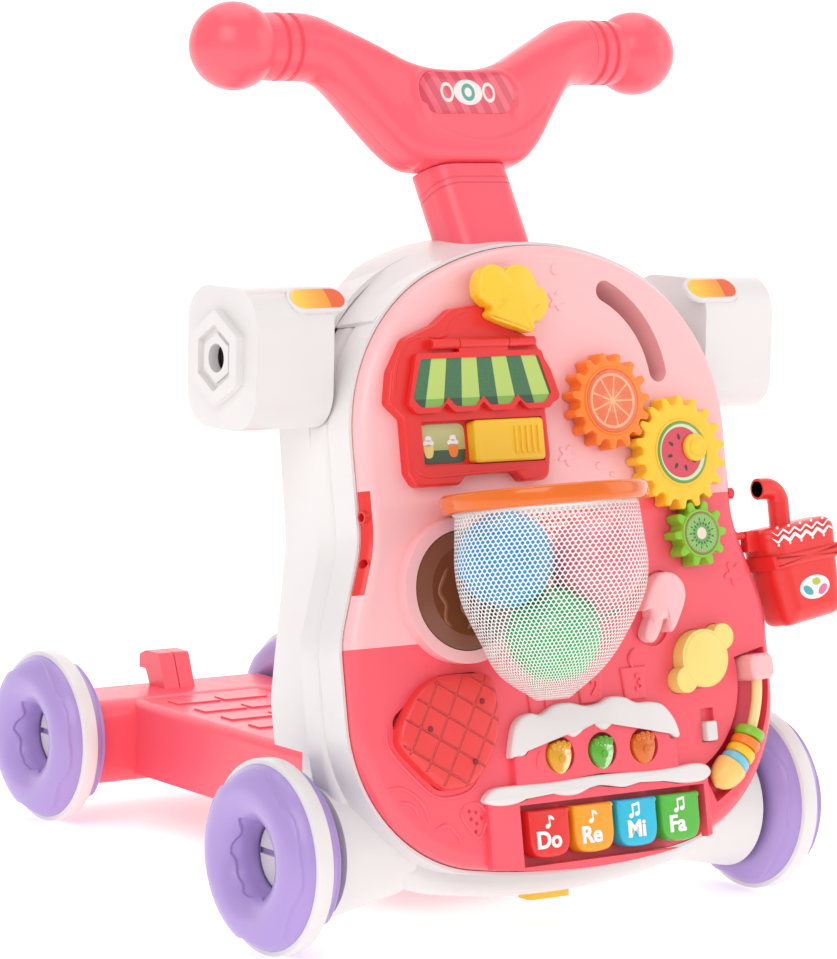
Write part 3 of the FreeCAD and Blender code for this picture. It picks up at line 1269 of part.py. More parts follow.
def net_form(name, inset, top):
    """Bag lofted through ellipses that hang below the hoop and lean towards the panel."""
    rings = []
    for number, (drop, u, high, half, deep) in enumerate(NET_RINGS):
        ring = doc.addObject("Part::Ellipse", f"{name}_ring_{number}")
        bind(ring, MajorRadius=f"{half} - {inset}", MinorRadius=f"{deep} - {inset}")
        ring.Placement = Placement(Vector(), Rotation(Vector(1, 0, 0), 90))
        lift = top if number == 0 else "0"
        drop_at = f"{drop} - {inset}" if number == len(NET_RINGS) - 1 else drop
        rings.append(place(ring, f"hoop_u + {u}", f"hoop_w - ({drop_at}) + {lift}", high))
    loft = doc.addObject("Part::Loft", name)
    loft.Sections = rings
    loft.Solid = True
    return loft


def build_net():
    shell = cut("net_shell", net_form("net_outer", "0", "0"),
                net_form("net_inner", "net_wall", "0"))
    piece("net", on_panel(shell))
    balls = []
    for name, u, w, high in (("blue", "-34", "-36", "63"), ("pink", "31", "-42", "69"),
                             ("green", "2", "-84", "57")):
        balls.append(ball("ball_" + name, "ball_radius", f"hoop_u + {u}", f"hoop_w + {w}",
                          high))
    piece("play_balls", on_panel(grouped("ball_set", *balls)))


# ---------------------------------------------------------------- cup and tab

def socket_holes(name, sign, radius, near, far, spots):
    """Rods along X through a side socket, at shares of its height."""
    at_h = "-(side_back + side_front) / 2"
    return [rod(f"{name}_{n}", radius, *span(sign, near, far),
                (f"side_low + (side_high - side_low) * {share}", at_h), "X")
            for n, share in enumerate(spots)]


def build_sockets():
    plates = []
    for side, sign in (("left", "-"), ("right", "")):
        near, far = "waist_half - side_thick", "waist_half"
        plate = common("socket_plate_" + side, edge_band("socket_band_" + side, sign, "0"),
                       slab("socket_skin_" + side, play_outline(), "-panel_depth", "0",
                            edge="panel_edge"))
        bosses = socket_holes("socket_ring_" + side, sign, "peg_radius + boss_wall",
                              f"{far} - 3", f"{far} + boss_proud", ("0.3", "0.75"))
        holes = socket_holes("socket_hole_" + side, sign, "peg_radius + pad_gap / 2",
                             f"{near} - 1", f"{far} + 20", ("0.3", "0.75"))
        plates.append(cut("side_socket_" + side, fused(f"side_mass_{side}", plate, *bosses),
                          *holes))
    piece("side_sockets", on_panel(grouped("side_socket_pair", *plates)))


def cup_outline(grow):
    """Cup seen from the front: wider at its top, which climbs away from the panel."""
    return [(f"belly_half + cup_flare - {grow}", f"cup_low - {grow}", "cup_corner"),
            (f"{CUP_FAR} + {grow}", f"cup_low + cup_climb - {grow}", "cup_corner"),
            (f"{CUP_FAR} + {grow}", f"cup_high + cup_climb + {grow}", "cup_corner"),
            (f"{CUP_NEAR} - {grow}", f"cup_high + {grow}", "cup_corner")]


def build_cup():
    """Flattened drinking cup with a bent straw, pegged to the right side socket."""
    body = slab("cup_form", cup_outline("0"), "-cup_back", "cup_front", edge="cup_round",
                rims="both")
    middle = "(cup_front - cup_back) / 2"
    root = f"{CUP_NEAR} + cup_round"
    arm = block("cup_bracket", ("belly_half - bracket_tuck", root),
                ("bracket_low", "bracket_high"), ("-side_back + 0.5", "-side_front - 0.5"))
    pegs = socket_holes("cup_peg", "", "peg_radius", "waist_half - side_thick * 0.4", root,
                        ("0.3",))
    base = "(cup_high + cup_climb)"
    straw = rod("cup_straw", "straw_radius", f"{base} - 8", f"{base} + straw_rise",
                (STRAW_U, middle), "Y")
    bend = doc.addObject("Part::Torus", "straw_elbow")
    bind(bend, Radius1="straw_bend", Radius2="straw_radius")
    bend.Angle3 = 90
    elbow = f"{STRAW_U} - straw_bend"
    place(bend, elbow, f"{base} + straw_rise", middle)
    tip = rod("straw_tip", "straw_radius", f"{elbow} - straw_reach", elbow,
              (f"{base} + straw_rise + straw_bend", middle), "X")
    piece("drink_cup", on_panel(fused("cup_whole", body, arm, straw, bend, tip, *pegs)))


def tab_form(name, gap, room):
    """Release tab's block, or the pocket it slides in when given a gap and some room."""
    half = f"(tab_width / 2 + {gap})"
    depth = (f"{FRONT} - tab_front - {gap}", f"{FRONT} - tab_front + tab_depth + {gap}")
    return slab(name, rectangle((f"-{half}", half), depth, "4"), "tab_low",
                f"tab_low + tab_height + {room}")


def build_tab():
    piece("release_tab", tab_form("tab_form", "0", "0"))


# ---------------------------------------------------------------- check and write

def check_document():
    doc.recompute()
    for thing in doc.Objects:
        if {"Invalid", "Error"} & set(thing.State):
            raise RuntimeError(f"{thing.Name}: {thing.State}")
    for thing in PIECES:
        if thing.Shape.isNull() or not thing.Shape.isValid() or not thing.Shape.Solids:
            raise RuntimeError(f"{thing.Label} has no valid solid")


def write_pieces():
    os.makedirs("parts", exist_ok=True)
    for thing in PIECES:
        thing.Shape.exportStep(f"parts/{thing.Label}.step")
        print(f"{thing.Label}: {len(thing.Shape.Solids)} solids,"
              f" {thing.Shape.Volume / 1000:.1f} cm3")


for build in (build_wheels, build_axles, build_rear_shell, build_front_shell, build_arms,
              build_column, build_handlebar, build_deck, build_panel, build_panel_back,
              build_van, build_flap, build_shutter, build_hat, build_gears, build_pads,
              build_shapes, build_buttons, build_keys, build_switch, build_icing, build_track,
              build_hoop, build_net, build_sockets, build_cup, build_tab):
    build()
check_document()
write_pieces()
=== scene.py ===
"""Baby walker with a play panel, dressed over its frame.  Metres, +Z up, panel to -Y."""

import math

import bmesh
import bpy
import numpy as np
from mathutils import Matrix, Vector


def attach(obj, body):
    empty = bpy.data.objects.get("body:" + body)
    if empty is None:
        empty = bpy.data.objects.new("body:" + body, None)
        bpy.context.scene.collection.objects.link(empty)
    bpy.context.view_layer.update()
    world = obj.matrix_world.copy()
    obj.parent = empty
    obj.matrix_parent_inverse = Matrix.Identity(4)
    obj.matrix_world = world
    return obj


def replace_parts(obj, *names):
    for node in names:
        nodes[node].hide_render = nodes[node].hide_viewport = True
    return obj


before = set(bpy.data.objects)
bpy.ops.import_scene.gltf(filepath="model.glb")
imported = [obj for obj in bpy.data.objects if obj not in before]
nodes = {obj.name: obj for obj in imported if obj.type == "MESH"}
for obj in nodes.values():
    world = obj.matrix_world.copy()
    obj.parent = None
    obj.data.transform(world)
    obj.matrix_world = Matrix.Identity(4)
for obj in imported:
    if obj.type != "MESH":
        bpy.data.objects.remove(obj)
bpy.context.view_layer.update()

TILT = math.radians(10.6)       # lean of the play panel
FOOT = -0.2958                  # where the panel's face would meet the floor
WHEELS = [(end, side) for end in ("front", "rear") for side in ("left", "right")]


# ---------------------------------------------------------------- finishes

def operator(operation, turned=False):
    """A method that joins values with one Math node; turned puts its own value last."""
    def method(self, *others):
        return self.math(operation, *((*others, self) if turned else (self, *others)))
    return method


class Link:
    """A value that changes over the surface: one output of a finish's nodes."""

    def __init__(self, finish, socket):
        self.finish, self.socket = finish, socket

    def math(self, operation, *values):
        """The result of a Math node on these values."""
        return self.finish.node("ShaderNodeMath", {"operation": operation},
                                dict(enumerate(values)))

    __add__ = __radd__ = operator("ADD")
    __mul__ = __rmul__ = operator("MULTIPLY")
    __sub__, __rsub__ = operator("SUBTRACT"), operator("SUBTRACT", turned=True)
    __truediv__, __rtruediv__ = operator("DIVIDE"), operator("DIVIDE", turned=True)
    __abs__, root, sine = operator("ABSOLUTE"), operator("SQRT"), operator("SINE")
    part, most, power = operator("FRACT"), operator("MAXIMUM"), operator("POWER")

    def above(self, level, soft=1e-5):
        """0 below the level and 1 above it, with a smooth step of that width."""
        return self.finish.node("ShaderNodeMapRange", {"interpolation_type": "SMOOTHSTEP"},
                                {0: self, 1: level - soft, 2: level + soft})

    def below(self, level, soft=1e-5):
        """1 below the level and 0 above it."""
        return 1 - self.above(level, soft)


class Finish:
    """A material: constants sit on the shader's own sockets and patterns are links."""

    def __init__(self, name, **constants):
        self.material = bpy.data.materials.new(name)
        self.material.use_nodes = True
        self.tree = self.material.node_tree
        self.shader = self.tree.nodes["Principled BSDF"]
        for word, value in constants.items():
            self.shader.inputs[word.replace("_", " ")].default_value = value

    def node(self, kind, settings=None, inputs=None, output=0):
        """Any node: its settings first, then the values or links of its sockets."""
        made = self.tree.nodes.new(kind)
        for word, value in (settings or {}).items():
            setattr(made, word, value)
        for socket, value in (inputs or {}).items():
            if isinstance(value, Link):
                self.tree.links.new(value.socket, made.inputs[socket])
            else:
                made.inputs[socket].default_value = value
        return Link(self, made.outputs[output])

    def place(self, turn=(0, 0, 0), centre=(0, 0, 0)):
        """Object coordinates, moved so that the centre is the zero and then turned."""
        where = self.node("ShaderNodeTexCoord", output="Object")
        moved = self.node("ShaderNodeMapping", {"vector_type": "POINT"},
                          {"Vector": where, "Location": [-c for c in centre]})
        return self.node("ShaderNodeMapping", {}, {"Vector": moved, "Rotation": turn})

    def split(self, vector):
        """The three numbers of a vector as links."""
        made = self.node("ShaderNodeSeparateXYZ", {}, {0: vector})
        return [Link(self, socket) for socket in made.socket.node.outputs]

    def noise(self, vector, scale, detail=2.0, rough=0.5):
        """Cloudy values round 0.5, with about that many blobs to a metre."""
        return self.node("ShaderNodeTexNoise", {},
                         {"Vector": vector, "Scale": scale, "Detail": detail, "Roughness": rough})

    def mix(self, first, second, mask):
        """The first colour where the mask is 0 and the second where it is 1.  A colour is
        a link, four linear values or a hex code."""
        first, second = (tone(c) if isinstance(c, str) else c for c in (first, second))
        return self.node("ShaderNodeMix", {"data_type": "RGBA"},
                         {0: mask, 6: first, 7: second}, output=2)

    def feed(self, socket, link):
        """Connect a link to one of the shader's sockets."""
        self.tree.links.new(link.socket, self.shader.inputs[socket])

    def bump(self, height, distance, strength=1.0):
        """Fine relief: a height of 1 stands out by the distance, in metres."""
        self.feed("Normal", self.node("ShaderNodeBump", {},
                                      {"Height": height, "Distance": distance,
                                       "Strength": strength}))

    def printed(self, colours, grain):
        """The finished material of a print: its colours and the film's faint grain."""
        self.feed("Base Color", colours)
        self.bump(self.noise(self.place(), grain), 0.00003)
        return self.material


def tone(code, lift=1.0):
    """Linear colour of a hex code, made lighter or darker by lift."""
    values = [int(code[i:i + 2], 16) / 255 for i in (0, 2, 4)]
    linear = [v / 12.92 if v <= 0.04045 else ((v + 0.055) / 1.055) ** 2.4 for v in values]
    return (*[min(v * lift, 1.0) for v in linear], 1.0)


def moulded(name, code, gloss=0.3, coat=0.25, paint=None, relief=None, **constants):
    """Injection-moulded plastic: slow flow marks in the colour, a fine orange peel in
    the gloss and the surface, faint rubbed patches, and a paint or relief of its own."""
    finish = Finish(name, Coat_Weight=coat, Coat_Roughness=0.12, IOR=1.49, **constants)
    where = finish.place()
    flow = finish.noise(where, 11.0, 3.0)
    peel = finish.noise(where, 1300.0, 1.0)
    rubbed = finish.noise(where, 75.0, 5.0, 0.65).above(0.6, 0.08)
    base = finish.mix(tone(code, 0.93), tone(code, 1.05), flow)
    if paint:
        base = paint(finish, base)
    finish.feed("Base Color", base)
    finish.feed("Roughness", gloss - 0.05 + flow * 0.1 + peel * 0.08 + rubbed * 0.07)
    height = peel * 0.00003 + flow * 0.0005
    if relief:
        height = height + relief(finish)
    finish.bump(height, 1.0)
    return finish.material


def dress(material, *names):
    """Put one material on whole CAD nodes."""
    for name in names:
        mesh = nodes[name].data
        mesh.materials.clear()
        mesh.materials.append(material)


def panel_spot(finish, u=0.0, w=0.0, high=0.0):
    """Millimetre links across and up the panel, measured from a spot on it."""
    centre = panel(u, w, high).tolist()
    x, y, z = finish.split(finish.place((TILT - math.pi / 2, 0, 0), centre))
    return x * 1000, y * 1000, z * 1000


# ---------------------------------------------------------------- frames and forms

def plane(origin, across, up):
    """A flat frame in millimetres: a across, b up and c out of it.  Gives metres."""
    origin, across, up = (np.array(v, float) for v in (origin, across, up))
    out = np.cross(across, up)

    def at(a, b, c=0.0):
        """Points in metres: origin + a across + b up + c out."""
        a, b, c = np.broadcast_arrays(a, b, c)
        return (origin + a[..., None] * across + b[..., None] * up + c[..., None] * out) / 1000
    return at


panel = plane((0, FOOT * 1000, 0), (1, 0, 0), (0, math.sin(TILT), math.cos(TILT)))
BAR_LEAN = math.radians(18.4)
bar = plane((0, -132, 480), (1, 0, 0), (0, math.sin(BAR_LEAN), math.cos(BAR_LEAN)))


def tidy(mesh):
    """Merge doubled points, drop faces without area and turn every face outwards."""
    work = bmesh.new()
    work.from_mesh(mesh)
    bmesh.ops.remove_doubles(work, verts=work.verts, dist=1e-6)
    bmesh.ops.dissolve_degenerate(work, edges=work.edges, dist=1e-7)
    bmesh.ops.recalc_face_normals(work, faces=work.faces)
    work.to_mesh(mesh)
    work.free()


SHARP = 38.0                    # edges that turn by more degrees stay sharp


def put(name, mesh, material, body, slot, sharp=SHARP):
    """Make an object of a mesh, smooth except across sharp edges, that rides on a body."""
    mesh.name = name
    mesh.materials.clear()
    mesh.materials.append(material)
    mesh.shade_smooth()
    mesh.set_sharp_from_angle(angle=math.radians(sharp))
    thing = bpy.data.objects.new(name, mesh)
    bpy.context.scene.collection.objects.link(thing)
    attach(thing, body)
    return thing


def around(count):
    """Angles of a full turn in equal steps, in radians."""
    return np.linspace(0, 2 * np.pi, count, endpoint=False)


class Form:
    """Grids of points gathered into one mesh."""

    def __init__(self):
        self.points, self.faces, self.total = [], [], 0

    def grid(self, points, round_rows=False, round_columns=True, caps=""):
        """Quads over a grid; a round direction closes on itself, caps fill an end row."""
        rows, columns = points.shape[:2]
        i, j = np.meshgrid(np.arange(rows if round_rows else rows - 1),
                           np.arange(columns if round_columns else columns - 1), indexing="ij")
        k, m = (i + 1) % rows, (j + 1) % columns
        quads = np.stack((i * columns + j, i * columns + m, k * columns + m,
                          k * columns + j), -1)
        self.faces += (quads.reshape(-1, 4) + self.total).tolist()
        if "low" in caps:
            self.faces.append(list(range(self.total, self.total + columns)))
        if "high" in caps:
            last = self.total + (rows - 1) * columns
            self.faces.append(list(range(last, last + columns)))
        self.points.append(points.reshape(-1, 3))
        self.total += rows * columns
        return self

    def mesh(self):
        """All grids as one clean mesh."""
        mesh = bpy.data.meshes.new("form")
        mesh.from_pydata(np.concatenate(self.points).tolist(), [], self.faces)
        tidy(mesh)
        return mesh

    def piece(self, name, material, body, slot, sharp=SHARP):
        """All grids as one named piece that rides on a body."""
        return put(name, self.mesh(), material, body, slot, sharp)


def spline(p0, p1, p2, p3, t):
    """Catmull-Rom: a cubic in t from p1 to p2 that leaves each along its neighbours."""
    return 0.5 * (2 * p1 + (p2 - p0) * t + (2 * p0 - 5 * p1 + 4 * p2 - p3) * t ** 2
                  + (3 * p1 - p0 - 3 * p2 + p3) * t ** 3)


def loop(corners, per=8):
    """Smooth closed outline through its corners, counter-clockwise."""
    corners = np.array(corners, float)
    t = np.linspace(0, 1, per, endpoint=False)[None, :, None]
    ends = [np.roll(corners, shift, 0)[:, None] for shift in (1, 0, -1, -2)]
    return facing(spline(*ends, t).reshape(-1, 2))


def straight(corners, per):
    """Closed outline with straight sides, each cut into short steps."""
    corners = facing(np.array(corners, float))
    step = np.linspace(0, 1, per, endpoint=False)[None, :, None]
    return (corners[:, None] * (1 - step)
            + np.roll(corners, -1, 0)[:, None] * step).reshape(-1, 2)


def facing(outline):
    """The outline in counter-clockwise order."""
    x, y = outline.T
    return outline if (x * np.roll(y, -1) - y * np.roll(x, -1)).sum() > 0 else outline[::-1]


def oval(a, b, centre=(0, 0), lean=0.0, power=2.0, count=48):
    """Superellipse |x/a|^power + |y/b|^power = 1, leaned and moved."""
    t = around(count)
    c, s = np.cos(t), np.sin(t)
    x, y = a * np.sign(c) * abs(c) ** (2 / power), b * np.sign(s) * abs(s) ** (2 / power)
    return leaned(np.stack((x, y), -1), centre, lean)


def pill(half, radius, centre=(0, 0), lean=0.0, count=48):
    """Slot outline: a circle of that radius pulled apart to half the length."""
    t = around(count) + np.pi / count
    x = radius * np.cos(t) + (half - radius) * np.sign(np.cos(t))
    return leaned(np.stack((x, radius * np.sin(t)), -1), centre, lean)


def leaned(points, centre, lean):
    """Points turned by lean degrees and moved to the centre."""
    c, s = math.cos(math.radians(lean)), math.sin(math.radians(lean))
    return points @ np.array(((c, s), (-s, c))) + np.array(centre, float)


def star(radius, centre, lean=90.0, count=80):
    """Soft five-pointed star: radius (0.74 + 0.26 cos 5t)."""
    t = around(count)
    r = radius * (0.74 + 0.26 * np.cos(5 * t))
    return leaned(np.stack((r * np.cos(t), r * np.sin(t)), -1), centre, lean)


def raised(outline, at, low, high, shoulder=1.0, dome=0.0):
    """Raised form over an outline.  The side rises from low, the shoulder turns in as a
    quarter round, inset shoulder(1 - cos a), and the top shrinks to its middle while it
    climbs dome(1 - s squared)."""
    step = np.roll(outline, -1, 0) - np.roll(outline, 1, 0)
    inward = np.stack((-step[:, 1], step[:, 0]), -1)
    inward /= np.linalg.norm(step, axis=1)[:, None] + 1e-9
    bend = np.linspace(0, np.pi / 2, 5)
    inset = np.concatenate(([0.0], shoulder * (1 - np.cos(bend))))
    height = np.concatenate(([low], high - shoulder * (1 - np.sin(bend))))
    rims = outline[None] + inset[:, None, None] * inward[None]
    share = np.array([0.85, 0.65, 0.4, 0.18, 0.0])
    middle = rims[-1].mean(0)
    flat = np.concatenate((rims, middle + (rims[-1] - middle) * share[:, None, None]))
    height = np.concatenate((height, high + dome * (1 - share ** 2)))
    return at(flat[..., 0], flat[..., 1], height[:, None])


def emboss(name, outlines, at, low, high, material, body, slot, shoulder=1.0, dome=0.0):
    """One piece of raised forms over a list of outlines."""
    form = Form()
    for outline in outlines:
        form.grid(raised(outline, at, low, high, shoulder, dome), caps="low")
    return form.piece(name, material, body, slot)


def tube(path, radius, guide, sides=16):
    """Round tube along a path: centre + radius (cos a n + sin a m), n and m square to it."""
    path = np.array(path, float)
    step = np.gradient(path, axis=0)
    step /= np.linalg.norm(step, axis=1)[:, None]
    n = np.cross(step, np.array(guide, float))
    n /= np.linalg.norm(n, axis=1)[:, None]
    m = np.cross(step, n)
    radius = np.broadcast_to(np.asarray(radius, float), len(path))[:, None, None]
    a = around(sides)[None, :, None]
    return path[:, None] + radius * (np.cos(a) * n[:, None] + np.sin(a) * m[:, None])


def curve_through(points, per=10):
    """Open smooth line through points, whose ends run straight on."""
    p = np.array(points, float)
    p = np.concatenate((p[:1] * 2 - p[1:2], p, p[-1:] * 2 - p[-2:-1]))
    t = np.linspace(0, 1, per, endpoint=False)[None, :, None]
    curve = spline(*(p[k:len(p) - 3 + k][:, None] for k in range(4)), t)
    return np.concatenate((curve.reshape(-1, p.shape[1]), p[-2:-1]))


def bead_line(lines, at, high, radius, squash=1.0):
    """Half-sunk rounded ribs along lines drawn in a plane."""
    form = Form()
    for line in lines:
        path = curve_through(line)
        ends = np.minimum(np.linspace(0, 5, len(path)), np.linspace(5, 0, len(path)))
        thick = radius * np.sqrt(np.clip(ends, 0.02, 1))
        a = around(12)
        step = np.gradient(path, axis=0)
        step /= np.linalg.norm(step, axis=1)[:, None]
        side = np.stack((-step[:, 1], step[:, 0]), -1)
        x = path[:, None] + side[:, None] * (thick[:, None] * np.cos(a))[..., None]
        form.grid(at(x[..., 0], x[..., 1], high + squash * thick[:, None] * np.sin(a)),
                  caps="low high")
    return form


BOLD = 0.03                     # how far a stroke is thickened, as a share of the size


def words(text, size, at, centre, low, high):
    """Raised lettering as a mesh: outlines filled, given a thickness and laid in a plane."""
    curve = bpy.data.curves.new("words", "FONT")
    curve.body, curve.size, curve.resolution_u = text, size, 5
    curve.extrude, curve.offset = (high - low) / 2, BOLD * size
    curve.align_x, curve.align_y = "CENTER", "CENTER"
    holder = bpy.data.objects.new("words", curve)
    bpy.context.scene.collection.objects.link(holder)
    bpy.context.view_layer.update()
    drawn = holder.evaluated_get(bpy.context.evaluated_depsgraph_get())
    mesh = bpy.data.meshes.new_from_object(drawn)
    flat = np.empty(len(mesh.vertices) * 3)
    mesh.vertices.foreach_get("co", flat)
    flat = flat.reshape(-1, 3)
    place = flat[:, :2] + np.array(centre, float)
    laid = at(place[:, 0], place[:, 1], flat[:, 2] + (low + high) / 2)
    mesh.vertices.foreach_set("co", laid.ravel())
    mesh.update()
    bpy.data.objects.remove(holder)
    bpy.data.curves.remove(curve)
    return mesh


# ---------------------------------------------------------------- colours on the CAD nodes

# the darker panel pink, D92A48, is painted shade: the panel's own pink darkened for the recessed
# track floor and the berry's seeds
COLOURS = {
    "white": "E5E0DF", "coral": "FA5B6B", "panel_pink": "F85A69", "pale_pink": "FBBCBE",
    "lilac": "AB90CF", "red": "E62B28", "yellow": "FBC62A", "orange": "F98320",
    "green": "55B83A", "cyan": "27BBDD", "candy": "F3DA7C", "brown": "74391B",
    "lime": "86C42C", "deep_pink": "D92A48", "rod": "F4DE9A", "ink": "FAF6F4",
    "back": "F6B9C0", "amber": "F6A11E", "cocoa": "8C5030", "cone": "FBCB72",
    "sky": "77CBEA",
}
plastic = {word: moulded(word + "_plastic", code) for word, code in COLOURS.items()}
# painted shade: a dark red that stands in for the shade inside the waffle's holes and the straw's
# bore
plastic["dark_dot"] = moulded("dark_dot_plastic", "8E1515", gloss=0.5)
SLOTS = {
    "lime": "green_plastic", "sky": "cyan_plastic", "amber": "orange_plastic",
    "lilac": "purple_plastic", "pale_pink": "light_pink_plastic", "ink": "white_plastic",
    "panel_pink": "coral_panel", "deep_pink": "coral_panel", "cocoa": "brown_plastic",
    "cone": "yellow_plastic", "dark_dot": "red_plastic",
}


def cast(colour, body):
    """Material, body and material slot of a piece moulded in a colour."""
    return plastic[colour], body, SLOTS.get(colour, colour + "_plastic")


def clear_plastic(name, code, through, rough=0.12):
    """Tinted see-through plastic: the tint deepens slowly from place to place."""
    finish = Finish(name, IOR=1.46, Transmission_Weight=through, Coat_Weight=0.4,
                    Coat_Roughness=0.06)
    where = finish.place()
    cloud = finish.noise(where, 30.0, 3.0)
    finish.feed("Base Color", finish.mix(tone(code, 0.9), tone(code, 1.1), cloud))
    finish.feed("Roughness", rough + cloud * 0.08)
    finish.bump(finish.noise(where, 160.0, 2.0), 0.00012)
    return finish.material


def steel():
    """Turned rod: fine rings round the axle and a little tarnish."""
    finish = Finish("turned_steel", Metallic=1.0)
    x = finish.split(finish.place())[0]
    rings = (x * 9000).sine() * 0.5 + 0.5
    tarnish = finish.noise(finish.place(), 60.0, 4.0)
    finish.feed("Base Color", finish.mix("A9ABAE", "8C8E92", tarnish))
    finish.feed("Roughness", 0.25 + rings * 0.1 + tarnish * 0.15)
    finish.bump(rings, 0.00002)
    return finish.material


jelly = {word: clear_plastic(word + "_jelly", code, 0.28)
         for word, code in (("yellow", "FFB61C"), ("green", "6CC830"), ("orange", "FF7F1A"))}

for colour, names in {
        "white": ("rear_shell", "front_shell", "arm_shell_left", "arm_shell_right",
                  "leg_sockets", "power_switch"),
        "coral": ("grip_knobs", "deck_shell", "deck_base", "deck_hook"),
        "panel_pink": ("panel_lower",), "pale_pink": ("panel_upper", "bead_cream"),
        "back": ("panel_back", "battery_cover"),
        "red": ("van_housing", "flap_frame", "drink_cup", "side_sockets"),
        "yellow": ("van_shutter", "release_tab"), "candy": ("candy",),
        "brown": ("donut_pad",), "rod": ("bead_rod",)}.items():
    dress(plastic[colour], *names)


def column_finish():
    """The column's coral with two fine seams round its collar."""
    def seams(finish):
        """Two grooves, 27 and 31.5 mm up the column's axis, which leans by 31 degrees."""
        y, z = finish.split(finish.place())[1:]
        lean = math.radians(31)
        along = ((y + 0.151) * math.sin(lean) + (z - 0.445) * math.cos(lean)) * 1000
        marks = abs(along - 31.5).below(0.5, 0.35) + abs(along - 27.0).below(0.35, 0.3)
        return marks * -0.0006
    return moulded("column_plastic", COLOURS["coral"], relief=seams)


def battery_finish():
    """Shrink-wrapped cells: a copper-coloured end band on a dark sleeve."""
    finish = Finish("battery_sleeve", Metallic=0.3)
    x = finish.split(finish.place())[0]
    band = x.above(0.012, 0.0004)
    grime = finish.noise(finish.place(), 120.0, 3.0)
    finish.feed("Base Color", finish.mix("4B525A", "B07A3C", band))
    finish.feed("Roughness", 0.3 + grime * 0.2)
    finish.bump(grime, 0.00005)
    return finish.material


def board_finish():
    """Green circuit board: thin tracks in a grid and pale solder dots."""
    finish = Finish("circuit_board")
    x = finish.split(finish.place())[0]
    track = abs((x * 500).part() - 0.5).below(0.08, 0.03)
    dots = finish.node("ShaderNodeTexVoronoi", {}, {"Vector": finish.place(), "Scale": 260.0,
                                                    "Randomness": 0.3}).below(0.25, 0.05)
    base = finish.mix("2F6B3C", "4C8D56", track)
    finish.feed("Base Color", finish.mix(base, "C9CBC4", dots))
    finish.feed("Roughness", 0.55 - dots * 0.2)
    finish.bump(dots + track * 0.4, 0.0002)
    return finish.material


dress(column_finish(), "steering_column")
dress(battery_finish(), "batteries")
dress(board_finish(), "sound_module")


# ---------------------------------------------------------------- wheels

HALF_TRACK = {"front": 195.0, "rear": 109.0}
AXLE_PLACE = {"front": -215.0, "rear": 215.0}
WHEEL_RADIUS = 62.0
RING_RADIUS, RING_HALF = 41.0, 20.3     # of the half rings: to their middle, and of their tube
AXLE_RADIUS = 3.0


def wheel_frame(end, side):
    """Plane of a wheel's middle, with its outer face away from the walker."""
    sign = 1 if side == "right" else -1
    return plane((sign * HALF_TRACK[end], AXLE_PLACE[end], WHEEL_RADIUS), (0, sign, 0),
                 (0, 0, 1))


def glaze_ring(at, outwards, turn, deep):
    """Half of a ring round the hub, r = 41 + 20.3 cos p and c = 20.3 sin p.  A thin glaze
    stands 1.7 mm proud of it between two lobed edges, p = 90 +- (45 + lobes)."""
    t = around(240)[None, :]
    p = np.radians(np.linspace(16.5, 163 + deep, 90))[:, None]
    outer = 34 + 15 * abs(np.sin(2.5 * t + turn)) + 5 * np.sin(7 * t + 2 * turn + 1)
    inner = 46 + 12 * abs(np.sin(3 * t + 2 + turn)) + 4 * np.sin(8 * t)
    away = np.maximum(90 - np.degrees(p) - outer, np.degrees(p) - 90 - inner)
    bulge = RING_HALF - 1.7 / (1 + np.exp(-away / 0.6))
    r = np.concatenate((RING_RADIUS + bulge * np.cos(p), np.full((1, 240), RING_RADIUS)))
    c = np.concatenate((bulge * np.sin(p), np.full((1, 240), 2.0))) * outwards
    return at(r * np.cos(t), r * np.sin(t), c)


def tyre(at):
    """Flat rubbed tyre of 124 mm: a band 11.4 wide with rounded edges, hollow inside."""
    t = around(180)[None, :]
    r = np.array([40, 60.6, 61.6, 62, 62, 61.6, 60.6, 40])[:, None]
    c = np.array([-5.7, -5.7, -5.2, -4.0, 4.0, 5.2, 5.7, 5.7])[:, None]
    return at(r * np.cos(t), r * np.sin(t), c + 0 * t)


def hub_half(up):
    """Half disc of the hub beside the slot across its middle."""
    a = np.linspace(math.radians(5), math.radians(175), 40)
    arc = np.stack((22 * np.cos(a), 22 * np.sin(a)), -1)
    chord = np.stack((np.linspace(-20, 20, 12), np.full(12, 1.9)), -1)
    return facing(np.concatenate((arc, chord)) * (1, up))


def build_wheels():
    """Each wheel: two glazed half rings, a tyre between them and a slotted hub."""
    for number, (end, side) in enumerate(WHEELS):
        body = f"wheel_{end}_{side}"
        at = wheel_frame(end, side)
        for face, outwards in (("outer", 1), ("inner", -1)):
            deep = 34 if outwards > 0 else -2
            ring = Form().grid(glaze_ring(at, outwards, 1.7 * number + outwards, deep),
                               round_rows=True)
            glaze = ring.piece(f"glaze_{face}_{end}_{side}", *cast("lilac", body))
            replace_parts(glaze, f"wheel_rings_{end}_{side}")
        band = Form().grid(tyre(at), round_rows=True).piece(
            f"tyre_{end}_{side}", *cast("white", body))
        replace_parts(band, f"wheel_core_{end}_{side}")
        emboss(f"hub_halves_{end}_{side}", [hub_half(1), hub_half(-1)], at, -8.5, -5.5,
               *cast("white", body), 0.6)
        emboss(f"hub_back_{end}_{side}", [oval(22, 22, count=64)], at, -12.0, -8.0,
               *cast("lilac", body), 0.6)


def build_axles():
    """Steel rods that end behind the hub discs."""
    t = around(24)[None, :]
    form = Form()
    for end, y in AXLE_PLACE.items():
        x = (HALF_TRACK[end] - 11) * np.array([-1, 1])[:, None]
        rod = np.broadcast_arrays(x, y + AXLE_RADIUS * np.cos(t),
                                  WHEEL_RADIUS + AXLE_RADIUS * np.sin(t))
        form.grid(np.stack(rod, -1) / 1000, caps="low high")
    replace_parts(form.piece("axle_rods", steel(), "chassis", "axle_steel"), "axles")


build_wheels()
build_axles()


# ---------------------------------------------------------------- handlebar

